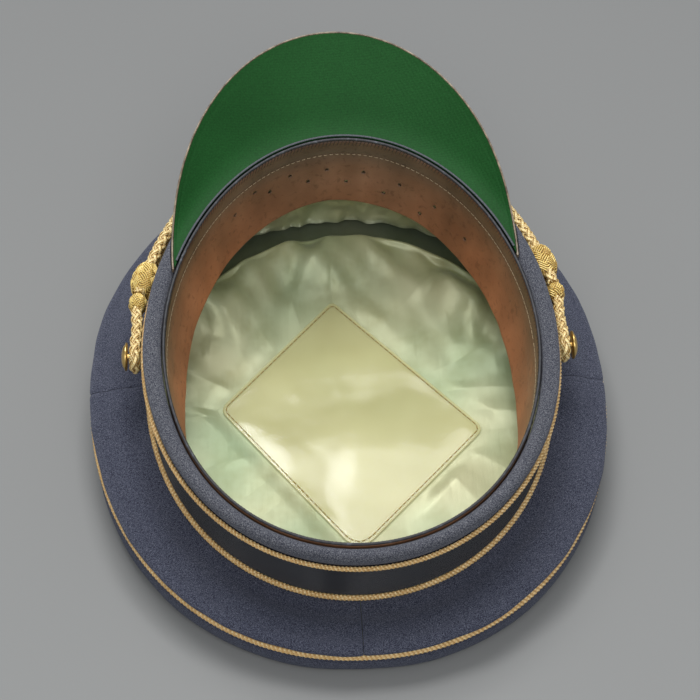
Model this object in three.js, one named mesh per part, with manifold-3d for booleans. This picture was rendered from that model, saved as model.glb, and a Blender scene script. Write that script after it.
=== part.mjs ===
// Peaked service cap, resting upside down on its crown.
// Millimetres, +Z up, +Y towards the visor (front), -X left and +X right as named below.
import * as THREE from "three";
import Module from "manifold-3d";

const wasm = await Module();
wasm.setup();
const { Manifold, Mesh: SolidMesh } = wasm;

// Band oval, measured on the outside of the black band.
const HALF_WIDTH = 90;
const HALF_LENGTH = 110;
const FRONT_TAPER = 0.06; // the oval is this much narrower at the front and wider at the rear
const OPENING_TILT = 8.9; // degrees, front edge higher
const OPENING_HEIGHT = 76; // centre of the opening above the floor

// Heights on the band, measured down from the opening plane.
const EDGE_THICKNESS = 6.5;
const EDGE_REAR_THINNING = 1.9;
const EDGE_DEPTH = 7.6;
const LOWER_PIPING = { depth: 9.3, radius: 1.2, offset: 1.6 };
const BAND_TOP = 10.7;
const BAND_BOTTOM = 38.3;
const BAND_THICKNESS = 0.9;
const UPPER_PIPING = { depth: 39.9, radius: 1.4, offset: 0.6 };
const STIFFENER = { outer: -1.2, inner: -2.8, top: 8, bottom: 40.8 };
const CROWN_START = 41.5;

// Crown rim.
const RIM = { a: 115.4, b: 137.1, y: 8, height: 14.1, sideRise: 7.4, exponent: 2.15 };
const CLOTH = 1.4;
const RIM_PIPING = { offset: 0.8, radius: 1.6 };
const HOOP = { offset: -4.2, drop: 3.6, radius: 1.1 };
const CROWN_SEAM_HALF_GAP = 0.12; // degrees

// Lining and padding on the crown's inside.
const PAD = { bottom: 1.8, top: 4.6 };
const LINING = { bottom: 5.0, top: 5.6, inset: 11.5, wall: 0.6 };
const SHIELD = { bottom: 5.95, top: 6.45 };

// Sweatband.
const SWEATBAND = { gap: 0.5, thickness: 1.1, depth: 42, sideLean: 8.5, endLean: 6, rearEase: 0.55 };
const REED_RADIUS = 0.8;
// Two staggered rows of air holes across the front of the sweatband, from left to right.
const PERFORATION_RADIUS = 0.85;
const PERFORATION_ROWS = [
  { angle: 122.5, depth: 17.5, turn: -13.7, drop: 1.75, count: 7 },
  { angle: 131.5, depth: 20.5, turn: -14.6, drop: 3, count: 6 },
];

// Visor.
const VISOR = {
  seamFrom: 19.5, // angles of the two corners on the sewn edge
  seamTo: 162.4,
  cornerPhase: -3.5, // degrees round the outline's ellipse, from its widest place to a corner
  yaw: 1.1, // degrees, the tip is turned a little to the left
  slope: 25,
  bend: 6.8, // half width of the zone in which it bends up off the edge roll
  halfWidth: 77.8,
  centreY: 41.5,
  reach: 108.8,
  innerOffset: -6.2,
  lining: 0.7,
  board: 1.4,
  gap: 0.3,
  binding: 1.0,
};

// Chin cord: two strands that run round the front of the band between the side buttons.
const CORD = { depth: 18.5, radius: 2.75, spread: 2.95 };
const CORD_OFFSET = { button: 5.6, knots: 8.4, front: 5 };
const LOOP_RADIUS = 4.9;
const END_KNOT = { from: 11.6, to: 15.4, halfHeight: 6.0, halfThickness: 4.2 };
const SLIDE_KNOT = { from: { right: 18.2, left: 16.0 }, length: 7.4 };
const SLEEVE = { halfHeight: 7.6, halfThickness: 6.2, play: 0.45 };
const BUTTON = { radius: 6.4, rim: 9.1, top: 11.8, shank: 1.52, bore: 1.6, end: -4.0 };
const WASHER = { radius: 4.2, hole: 1.75, outer: -3.1, inner: -3.9 };

const RING_STEPS = 60;
const rad = THREE.MathUtils.degToRad;
const ringAngles = Array.from({ length: RING_STEPS }, (_, i) => (360 / RING_STEPS) * i);
const steps = (from, to, count) =>
  Array.from({ length: count + 1 }, (_, i) => from + ((to - from) * i) / count);

// ---------------------------------------------------------------- curves

// Point [x, y] on the band oval, moved outwards by offset. Angle 0 is +X, 90 is the front.
function band(angle, offset) {
  const c = Math.cos(rad(angle));
  const s = Math.sin(rad(angle));
  const taper = 1 - FRONT_TAPER * s;
  const dx = -HALF_WIDTH * (s * taper + FRONT_TAPER * c * c);
  const dy = HALF_LENGTH * c;
  const length = Math.hypot(dx, dy);
  return [
    HALF_WIDTH * c * taper + (dy / length) * offset,
    HALF_LENGTH * s - (dx / length) * offset,
  ];
}

// Thickness of the edge roll, which is thinner round the rear.
const edgeThickness = (angle) =>
  EDGE_THICKNESS - EDGE_REAR_THINNING * THREE.MathUtils.smoothstep(-Math.sin(rad(angle)), 0.2, 0.95);

// A point [x, y] turned about the opening's centre by degrees.
function turn([x, y], degrees) {
  const c = Math.cos(rad(degrees));
  const s = Math.sin(rad(degrees));
  return [x * c - y * s, x * s + y * c];
}

// Angle of the point at arc length s from the side (angle 0) along the offset band oval.
function angleAtArc(length, offset) {
  let angle = 0;
  let gone = 0;
  const step = 0.25 * Math.sign(length || 1);
  let [x, y] = band(0, offset);
  while (gone < Math.abs(length)) {
    const [nx, ny] = band(angle + step, offset);
    const d = Math.hypot(nx - x, ny - y);
    if (gone + d > Math.abs(length)) return angle + (step * (Math.abs(length) - gone)) / d;
    gone += d;
    angle += step;
    [x, y] = [nx, ny];
  }
  return angle;
}

const TILT = rad(OPENING_TILT);

// A point of the tilted opening frame in the part's frame.
function tilted(x, y, z) {
  return new THREE.Vector3(
    x,
    y * Math.cos(TILT) - z * Math.sin(TILT),
    y * Math.sin(TILT) + z * Math.cos(TILT) + OPENING_HEIGHT,
  );
}

const onBand = (angle, offset, z) => new THREE.Vector3(...band(angle, offset), z);
const onBandWorld = (angle, offset, z) => tilted(...band(angle, offset), z);

// Point on the crown rim, a slightly squared ellipse, moved outwards by offset.
function rim(angle, offset, z) {
  const at = (degrees) => {
    const c = Math.cos(rad(degrees));
    const s = Math.sin(rad(degrees));
    const n = RIM.exponent;
    const k = Math.pow(Math.abs(c) ** n + Math.abs(s) ** n, -1 / n);
    return [RIM.a * k * c, RIM.b * k * s];
  };
  const [x, y] = at(angle);
  const [x1, y1] = at(angle + 0.5);
  const [x0, y0] = at(angle - 0.5);
  const length = Math.hypot(x1 - x0, y1 - y0);
  return new THREE.Vector3(
    x + ((y1 - y0) / length) * offset,
    y - ((x1 - x0) / length) * offset + RIM.y,
    z,
  );
}

const rimHeight = (angle) => RIM.height + RIM.sideRise * Math.cos(rad(angle)) ** 2;

// Crown side between the band and the rim. It dips a little beside the band, swells out over the rim
// piping and tucks in above it. Where the crown is deep, at the front, the swell starts lower down.
function crownSideCurve(angle) {
  const h = rimHeight(angle);
  const from = onBandWorld(angle, 0.3, -CROWN_START);
  const steep = Math.min(Math.max((from.z - h - 5) / 35, 0), 1);
  const blend = (rear, front) => rear + (front - rear) * steep;
  const shoulder = rim(angle, blend(-6, 0.8), h + blend(5.2, 8));
  const chord = shoulder.clone().sub(from);
  const normal = chord.clone().cross(alongBand(angle)).normalize();
  const between = (share, rise) =>
    from.clone().addScaledVector(chord, share).addScaledVector(normal, rise);
  return new THREE.CatmullRomCurve3([
    from,
    between(0.33, -1.0),
    between(0.67, 0.3),
    shoulder,
    rim(angle, blend(-1.5, 2.0), h + blend(5.4, 5.2)),
    rim(angle, blend(2.0, 2.3), h + blend(3.6, 3.3)),
    rim(angle, 0.95, h + 1.75),
  ]);
}

const alongBand = (angle) =>
  onBandWorld(angle + 0.5, 0, 0).sub(onBandWorld(angle - 0.5, 0, 0));

// Point of the crown side: share 0 at the band, 1 at the rim, depth below the cloth's outer face.
function crownSide(angle, share, depth) {
  const curve = crownSideCurve(angle);
  const normal = curve.getTangent(share).cross(alongBand(angle)).normalize();
  return curve.getPoint(share).addScaledVector(normal, -depth);
}

// ---------------------------------------------------------------- solids

function geometry(points, faces) {
  const g = new THREE.BufferGeometry();
  g.setAttribute(
    "position",
    new THREE.Float32BufferAttribute(points.flatMap((p) => [p.x, p.y, p.z]), 3),
  );
  let volume = 0;
  for (const [a, b, c] of faces)
    volume += points[a].dot(points[b].clone().cross(points[c]));
  g.setIndex(faces.flatMap(([a, b, c]) => (volume < 0 ? [a, c, b] : [a, b, c])));
  g.computeVertexNormals();
  return g;
}

// Skin through a row of loops with equal point counts. An open row is closed by a fan at each end.
function loft(loops, closed) {
  const size = loops[0].length;
  const points = loops.flat();
  const faces = [];
  const rows = closed ? loops.length : loops.length - 1;
  for (let i = 0; i < rows; i++) {
    const a = i * size;
    const b = ((i + 1) % loops.length) * size;
    for (let j = 0; j < size; j++) {
      const k = (j + 1) % size;
      faces.push([a + j, b + j, b + k], [a + j, b + k, a + k]);
    }
  }
  if (!closed) {
    const fan = (start, turn) => {
      const centre = new THREE.Vector3();
      for (let j = 0; j < size; j++) centre.addScaledVector(points[start + j], 1 / size);
      const hub = points.push(centre) - 1;
      for (let j = 0; j < size; j++) {
        const k = (j + 1) % size;
        faces.push(turn ? [hub, start + k, start + j] : [hub, start + j, start + k]);
      }
    };
    fan(0, false);
    fan((loops.length - 1) * size, true);
  }
  return geometry(points, faces);
}

// Sheet between two equal point grids, closed along all four edges.
function sheet(outer, inner) {
  const rows = outer.length;
  const columns = outer[0].length;
  const points = [...outer.flat(), ...inner.flat()];
  const at = (side, i, j) => side * rows * columns + i * columns + j;
  const faces = [];
  const quad = (a, b, c, d) => faces.push([a, b, c], [a, c, d]);
  for (let i = 0; i < rows - 1; i++)
    for (let j = 0; j < columns - 1; j++) {
      quad(at(0, i, j), at(0, i + 1, j), at(0, i + 1, j + 1), at(0, i, j + 1));
      quad(at(1, i, j), at(1, i, j + 1), at(1, i + 1, j + 1), at(1, i + 1, j));
    }
  for (let i = 0; i < rows - 1; i++) {
    quad(at(0, i, 0), at(1, i, 0), at(1, i + 1, 0), at(0, i + 1, 0));
    const k = columns - 1;
    quad(at(0, i, k), at(0, i + 1, k), at(1, i + 1, k), at(1, i, k));
  }
  for (let j = 0; j < columns - 1; j++) {
    quad(at(0, 0, j), at(0, 0, j + 1), at(1, 0, j + 1), at(1, 0, j));
    const k = rows - 1;
    quad(at(0, k, j), at(1, k, j), at(1, k, j + 1), at(0, k, j + 1));
  }
  return geometry(points, faces);
}

// Ring round the band with a closed section of [offset, z] pairs, which may depend on the angle.
function bandRing(section, angles = ringAngles) {
  return loft(
    angles.map((a) => section(a).map(([offset, z]) => onBand(a, offset, z))),
    true,
  );
}

// Round section of a cord or piping whose middle is centre(angle), seen across the band oval.
function roundSection(offset, z, radius, sides) {
  return steps(0, 360, sides)
    .slice(0, sides)
    .map((a) => [offset + radius * Math.cos(rad(a)), z + radius * Math.sin(rad(a))]);
}

// Round tube along a row of points.
function tube(points, radius, sides, closed) {
  const count = points.length;
  const side = new THREE.Vector3();
  const loops = points.map((p, i) => {
    const before = closed ? points[(i + count - 1) % count] : points[Math.max(i - 1, 0)];
    const after = closed ? points[(i + 1) % count] : points[Math.min(i + 1, count - 1)];
    const along = after.clone().sub(before).normalize();
    if (i === 0) side.set(p.x, p.y, 0).normalize();
    side.addScaledVector(along, -side.dot(along)).normalize();
    const other = along.clone().cross(side);
    return steps(0, 360, sides)
      .slice(0, sides)
      .map((a) =>
        p
          .clone()
          .addScaledVector(side, radius * Math.cos(rad(a)))
          .addScaledVector(other, radius * Math.sin(rad(a))),
      );
  });
  return loft(loops, closed);
}

function toSolid(g) {
  return new Manifold(
    new SolidMesh({
      numProp: 3,
      vertProperties: new Float32Array(g.getAttribute("position").array),
      triVerts: new Uint32Array(g.index.array),
    }),
  );
}

function fromSolid(solid) {
  const mesh = solid.getMesh();
  const g = new THREE.BufferGeometry();
  const positions = new Float32Array(mesh.numVert * 3);
  for (let i = 0; i < mesh.numVert; i++)
    for (let k = 0; k < 3; k++)
      positions[3 * i + k] = mesh.vertProperties[i * mesh.numProp + k];
  g.setAttribute("position", new THREE.BufferAttribute(positions, 3));
  g.setIndex([...mesh.triVerts]);
  g.computeVertexNormals();
  return g;
}

// ---------------------------------------------------------------- side buttons

// Frame on the band: origin on the band oval at a depth, local Z pointing out of the band.
function bandFrame(angle, depth) {
  const [x, y] = band(angle, 0);
  const [x1, y1] = band(angle, 1);
  const out = new THREE.Vector3(x1 - x, y1 - y, 0).normalize();
  const up = new THREE.Vector3(0, 0, 1);
  const basis = new THREE.Matrix4().makeBasis(up.clone().cross(out), up, out);
  return basis.setPosition(x, y, -depth);
}

// Body turned about the button's axis from [radius, distance out of the band] pairs.
function turned(profile, angle, segments = 28) {
  const points = profile.map(([r, z]) => new THREE.Vector2(r, z));
  const g = new THREE.LatheGeometry([...points, points[0].clone()], segments);
  g.rotateX(Math.PI / 2);
  g.applyMatrix4(bandFrame(angle, CORD.depth));
  return g;
}

// Round punch through the band's wall.
function punch(angle, depth, radius, length, segments) {
  const g = new THREE.CylinderGeometry(radius, radius, length, segments);
  g.rotateX(Math.PI / 2);
  g.applyMatrix4(bandFrame(angle, depth));
  const merged = new THREE.BufferGeometry();
  merged.setAttribute("position", g.toNonIndexed().getAttribute("position"));
  return solidFromSoup(merged);
}

// Manifold solid from loose triangles.
function solidFromSoup(g) {
  const p = g.getAttribute("position").array;
  const mesh = new SolidMesh({
    numProp: 3,
    vertProperties: new Float32Array(p),
    triVerts: Uint32Array.from({ length: p.length / 3 }, (_, i) => i),
  });
  mesh.merge();
  return new Manifold(mesh);
}

const cut = (g, cutters) =>
  fromSolid(cutters.reduce((solid, cutter) => solid.subtract(cutter), toSolid(g)));
const buttonBores = [0, 180].map((a) => punch(a, CORD.depth, BUTTON.bore, 12, 32));
const perforations = PERFORATION_ROWS.flatMap(({ angle, depth, turn: step, drop, count }) =>
  Array.from({ length: count }, (_, i) =>
    punch(angle + step * i, depth + drop * i, PERFORATION_RADIUS, 44, 10),
  ),
);

// ---------------------------------------------------------------- materials

const material = (color, roughness, metalness = 0) =>
  new THREE.MeshStandardMaterial({ color, roughness, metalness });
const fieldGreyWool = material("#4f5566", 0.95);
const blackRibbon = material("#1d1f22", 0.8);
const goldBraid = material("#a98c56", 0.55, 0.3);
const gilt = material("#c2a356", 0.35, 0.9);
const patentBlack = material("#0d0d0f", 0.2);
const greenCloth = material("#2c6a36", 0.6);
const brownLeather = material("#7c5736", 0.5);
const paleSatin = material("#9c9e78", 0.45);
const celluloid = material("#c8c39a", 0.15);
const springSteel = material("#8a8d90", 0.4, 1);
const card = material("#8f8064", 0.9);
const wadding = material("#c9c3b4", 1.0);
const seamTape = material("#66707a", 0.9);

const peakedCap = new THREE.Group();
peakedCap.name = "peaked_cap";
const cap = new THREE.Group();
peakedCap.add(cap);

// Everything measured from the opening plane sits in this tilted group.
const opening = new THREE.Group();
opening.position.z = OPENING_HEIGHT;
opening.rotation.x = TILT;
cap.add(opening);

function add(parent, name, g, look) {
  const mesh = new THREE.Mesh(g, look);
  mesh.name = name;
  parent.add(mesh);
}

// ---------------------------------------------------------------- crown

// Section of the crown's top panel: [offset from the rim, z], outer face from the flat to the piping.
function topPanelFace(angle) {
  const h = rimHeight(angle);
  const flat = (-9 * h) / RIM.height;
  return [
    [-48, 0],
    [flat, 0],
    [flat * 0.5, 0.035 * h],
    [-0.9, 0.15 * h],
    [0.9, 0.34 * h],
    [1.6, 0.56 * h],
    [1.5, 0.76 * h],
    [0.8, h - 2.0],
  ];
}

// The same polyline moved to its left by distance.
function moved(line, distance) {
  return line.map(([x, z], i) => {
    const [x0, z0] = line[Math.max(i - 1, 0)];
    const [x1, z1] = line[Math.min(i + 1, line.length - 1)];
    const length = Math.hypot(x1 - x0, z1 - z0);
    return [x - ((z1 - z0) / length) * distance, z + ((x1 - x0) / length) * distance];
  });
}

const topSections = ringAngles.map((a) => {
  const face = topPanelFace(a);
  return [...face, ...moved(face, CLOTH).reverse()];
});
add(
  cap,
  "crown_top_panel",
  loft(
    topSections[0].map((_, j) => ringAngles.map((a, i) => rim(a, ...topSections[i][j]))),
    false,
  ),
  fieldGreyWool,
);

const quarters = {
  crown_front_right_panel: 0,
  crown_front_left_panel: 90,
  crown_rear_left_panel: 180,
  crown_rear_right_panel: 270,
};
const crownShares = [0, 0.16, 0.33, 0.5, 0.62, 0.74, 0.84, 0.92, 1];
for (const [name, start] of Object.entries(quarters)) {
  const angles = steps(start, start + 90, RING_STEPS / 4);
  angles[0] += CROWN_SEAM_HALF_GAP;
  angles[angles.length - 1] -= CROWN_SEAM_HALF_GAP;
  const face = (depth) => angles.map((a) => crownShares.map((s) => crownSide(a, s, depth)));
  add(cap, name, sheet(face(0), face(CLOTH)), fieldGreyWool);
}

const rimTube = (offset, drop, radius, sides) =>
  loft(
    ringAngles.map((a) =>
      roundSection(offset, rimHeight(a) - drop, radius, sides).map((p) => rim(a, ...p)),
    ),
    true,
  );
add(cap, "crown_piping", rimTube(RIM_PIPING.offset, 0, RIM_PIPING.radius, 8), goldBraid);
add(cap, "crown_hoop_wire", rimTube(HOOP.offset, HOOP.drop, HOOP.radius, 6), springSteel);

// Flat pieces stacked inside the crown.
const disc = (inset, bottom, top) =>
  loft(
    [
      [-50, bottom],
      [-inset - 1, bottom],
      [-inset, (bottom + top) / 2],
      [-inset - 1, top],
      [-50, top],
    ].map((p) => ringAngles.map((a) => rim(a, ...p))),
    false,
  );
add(cap, "crown_padding", disc(12, PAD.bottom, PAD.top), wadding);
add(cap, "top_lining", disc(LINING.inset, LINING.bottom, LINING.top), paleSatin);

// Side lining, from under the edge roll to the edge of the top lining.
function sideLiningFace(angle, depth) {
  const h = rimHeight(angle);
  const top = 0.4 - edgeThickness(angle);
  return [
    onBandWorld(angle, top - depth, -8.3),
    onBandWorld(angle, top - depth, -42.5),
    crownSide(angle, 0.18, 5.4 + depth),
    crownSide(angle, 0.4, 5.5 + depth),
    rim(angle, -8.5 - depth * 0.7, h - 3 - depth * 0.7),
    rim(angle, -12.5 - depth, LINING.top + 0.7 + 0.1 * depth),
  ];
}
add(
  cap,
  "side_lining",
  loft(
    ringAngles.map((a) => [
      ...sideLiningFace(a, 0),
      ...sideLiningFace(a, LINING.wall).reverse(),
    ]),
    true,
  ),
  paleSatin,
);

// Hand-cut rhombus with softened corners, sharpest at the front and rounded at the rear.
const shieldShape = new THREE.Shape();
const corner = (x, y, radius) => ({ at: new THREE.Vector2(x, y), radius });
const shieldCorners = [
  corner(-4.3, 76, 3),
  corner(-59.2, 12.2, 5),
  corner(1.2, -71, 12),
  corner(62.6, -2.8, 5),
];
shieldCorners.forEach(({ at, radius }, i) => {
  const before = shieldCorners[(i + 3) % 4].at;
  const after = shieldCorners[(i + 1) % 4].at;
  const start = at.clone().add(before.clone().sub(at).setLength(radius));
  const end = at.clone().add(after.clone().sub(at).setLength(radius));
  if (i === 0) shieldShape.moveTo(start.x, start.y);
  else shieldShape.lineTo(start.x, start.y);
  shieldShape.quadraticCurveTo(at.x, at.y, end.x, end.y);
});
const shield = new THREE.ExtrudeGeometry(shieldShape, {
  depth: SHIELD.top - SHIELD.bottom,
  bevelEnabled: false,
  curveSegments: 4,
});
shield.translate(0, 0, SHIELD.bottom);
add(cap, "sweat_shield", shield, celluloid);

// Springy front stay: flat strip from inside the band down to the crown's front.
const stayAngles = steps(78, 102, 6);
const stayFace = (depth) =>
  stayAngles.map((a) => [
    onBandWorld(a, -3.2 - depth, -13),
    onBandWorld(a, -3.2 - depth, -27),
    onBandWorld(a, -3.2 - depth, -42),
    crownSide(a, 0.12, 2.4 + depth),
    crownSide(a, 0.3, 2.4 + depth),
    crownSide(a, 0.5, 2.4 + depth),
  ]);
add(cap, "crown_front_stay", sheet(stayFace(0), stayFace(0.9)), springSteel);

// ---------------------------------------------------------------- band

add(
  opening,
  "cap_band",
  cut(
    bandRing(() => [
      [0, -BAND_TOP],
      [-BAND_THICKNESS, -BAND_TOP],
      [-BAND_THICKNESS, -BAND_BOTTOM],
      [0, -BAND_BOTTOM],
    ]),
    buttonBores,
  ),
  blackRibbon,
);
add(
  opening,
  "band_stiffener",
  cut(
    bandRing(() => [
      [STIFFENER.outer, -STIFFENER.top],
      [STIFFENER.inner, -STIFFENER.top],
      [STIFFENER.inner, -STIFFENER.bottom],
      [STIFFENER.outer, -STIFFENER.bottom],
    ]),
    buttonBores,
  ),
  card,
);
for (const [name, p] of [
  ["band_lower_piping", LOWER_PIPING],
  ["band_upper_piping", UPPER_PIPING],
])
  add(
    opening,
    name,
    bandRing(() => roundSection(p.offset, -p.depth, p.radius, 8)),
    goldBraid,
  );

// How far out over the edge roll the visor reaches at an angle, as an offset from the band.
function visorReach(angle) {
  const inside = (offset) => {
    const [x, y] = turn(band(angle, offset), -VISOR.yaw);
    return (x / VISOR.halfWidth) ** 2 + ((y - VISOR.centreY) / VISOR.reach) ** 2 < 1;
  };
  let low = -EDGE_THICKNESS;
  let high = 4;
  if (!inside(low)) return low;
  for (let i = 0; i < 20; i++) {
    const middle = (low + high) / 2;
    if (inside(middle)) low = middle;
    else high = middle;
  }
  return low;
}

// Wool-covered roll round the opening. Under the visor it is cut down to seat the visor's margin.
const seatDepth = VISOR.lining + VISOR.gap + VISOR.board + 0.5;
const edgeAngles = [...ringAngles, ...steps(16, 32, 10), ...steps(148, 165, 10)]
  .sort((a, b) => a - b)
  .filter((a, i, all) => i === 0 || a - all[i - 1] > 0.2);
add(
  opening,
  "edge_roll",
  bandRing((angle) => {
    const inner = -edgeThickness(angle);
    const reach = visorReach(angle);
    const covered = reach > 0.4;
    const step = reach > inner ? Math.min(reach + 0.6, 1) : inner;
    const middle = (inner + 1.6) / 2;
    const top = [1, 0.8, 0.5, 0.2, 0].map((f) => {
      const offset = step + (1.1 - step) * f;
      const dome = -2.2 * (Math.abs(offset - middle) / (1.6 - middle)) ** 3;
      return [offset, covered ? -seatDepth : dome];
    });
    return [
      [0.6, -EDGE_DEPTH],
      [1.6, -5.4],
      [1.6, -3.4],
      ...top,
      [step - (covered ? 0.3 : 0), -seatDepth],
      [inner, -seatDepth - 0.5],
      [inner, -EDGE_DEPTH],
    ];
  }, edgeAngles),
  fieldGreyWool,
);

// ---------------------------------------------------------------- sweatband

function sweatbandFace(angle, depth) {
  const c = Math.cos(rad(angle));
  const ease = THREE.MathUtils.smoothstep(-Math.sin(rad(angle)), 0, 0.55) * SWEATBAND.rearEase;
  const lean =
    (SWEATBAND.endLean + (SWEATBAND.sideLean - SWEATBAND.endLean) * c * c) * (1 - ease);
  const top = -edgeThickness(angle) - SWEATBAND.gap;
  return [
    [0, 1.4],
    [0.03, 9],
    [0.42, 25],
    [1, SWEATBAND.depth],
  ].map(([share, z]) => [top - lean * share - depth, -z]);
}
add(
  opening,
  "sweatband",
  cut(
    bandRing((a) => [
      ...sweatbandFace(a, 0),
      ...sweatbandFace(a, SWEATBAND.thickness).reverse(),
    ]),
    perforations,
  ),
  brownLeather,
);
add(
  opening,
  "sweatband_reed",
  bandRing((a) => roundSection(-edgeThickness(a) - SWEATBAND.gap - 0.6, -0.2, REED_RADIUS, 6)),
  brownLeather,
);

// ---------------------------------------------------------------- visor

// y on the band oval's outside at a given x, on the front half.
function bandFront(x) {
  let low = 0;
  let high = 90;
  for (let i = 0; i < 30; i++) {
    const middle = (low + high) / 2;
    if (band(middle, 0.5)[0] > Math.abs(x)) low = middle;
    else high = middle;
  }
  return band(low, 0.5)[1];
}

// Height of the visor's lined face: level at the sewn edge, bending up to a steady slope.
function visorHeight(x, y) {
  const run = y - bandFront(x);
  const bent = (run + VISOR.bend) ** 2 / (4 * VISOR.bend);
  const rise = Math.abs(run) < VISOR.bend ? bent : Math.max(run, 0);
  return rise * Math.tan(rad(VISOR.slope));
}

// Outline of the visor, moved inwards by inset. Share 0 is the right corner, 1 the left.
function visorOutline(share, inset) {
  const phi = rad(VISOR.cornerPhase + (180 - 2 * VISOR.cornerPhase) * share);
  const x = VISOR.halfWidth * Math.cos(phi);
  const y = VISOR.reach * Math.sin(phi);
  const nx = x / VISOR.halfWidth ** 2;
  const ny = y / VISOR.reach ** 2;
  const length = Math.hypot(nx, ny);
  return turn(
    [x - (nx / length) * inset, y - (ny / length) * inset + VISOR.centreY],
    VISOR.yaw,
  );
}

const visorShares = steps(0.022, 0.978, 40);
const visorRows = [0, 0.07, 0.14, 0.22, 0.32, 0.5, 0.75, 1];
function visorFace(depth) {
  return visorShares.map((share) => {
    const seam = band(
      VISOR.seamFrom + (VISOR.seamTo - VISOR.seamFrom) * share,
      VISOR.innerOffset,
    );
    const tip = visorOutline(share, VISOR.binding + 0.3);
    return visorRows.map((f) => {
      const x = seam[0] + (tip[0] - seam[0]) * f;
      const y = seam[1] + (tip[1] - seam[1]) * f;
      return new THREE.Vector3(x, y, visorHeight(x, y) - depth);
    });
  });
}
add(opening, "visor_lining", sheet(visorFace(0), visorFace(VISOR.lining)), greenCloth);
const boardTop = VISOR.lining + VISOR.gap;
add(
  opening,
  "visor_board",
  sheet(visorFace(boardTop), visorFace(boardTop + VISOR.board)),
  patentBlack,
);
add(
  opening,
  "visor_edge_binding",
  loft(
    steps(0.002, 0.998, 48).map((share) =>
      [
        [0, -0.5],
        [0, -1.9],
        [0.3, -2.7],
        [VISOR.binding, -2.7],
        [VISOR.binding, 0.35],
        [0.3, 0.35],
      ].map(([inset, z]) => {
        const [x, y] = visorOutline(share, inset);
        const [ox, oy] = visorOutline(share, VISOR.binding);
        return new THREE.Vector3(x, y, visorHeight(ox, oy) + z);
      }),
    ),
    false,
  ),
  patentBlack,
);
add(
  opening,
  "visor_seam_tape",
  loft(
    steps(VISOR.seamFrom + 4, VISOR.seamTo - 4, 30).map((a) =>
      [
        [-5.4, 0.3],
        [-5.4, 0.8],
        [-6.4, 0.8],
        [-6.4, 0.3],
      ].map(([offset, z]) => onBand(a, offset, z)),
    ),
    false,
  ),
  seamTape,
);

// ---------------------------------------------------------------- chin cord

// Distance of the cord's middle from the band: it stands out at the knots and lies close round the front.
function cordOffset(angle) {
  const a = Math.min(Math.abs(angle), Math.abs(180 - angle));
  const rise = THREE.MathUtils.smoothstep(a, 5, 14);
  const fall = THREE.MathUtils.smoothstep(a, 42, 65);
  const { button, knots, front } = CORD_OFFSET;
  return button + (knots - button) * rise - (knots - front) * fall;
}

const strand = (side) =>
  tube(
    steps(END_KNOT.to + 0.2, 179.8 - END_KNOT.to, 52).map((a) =>
      onBand(a, cordOffset(a), -CORD.depth + side * CORD.spread),
    ),
    CORD.radius,
    8,
    false,
  );
add(opening, "chin_cord_upper_strand", strand(1), goldBraid);
add(opening, "chin_cord_lower_strand", strand(-1), goldBraid);

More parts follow.
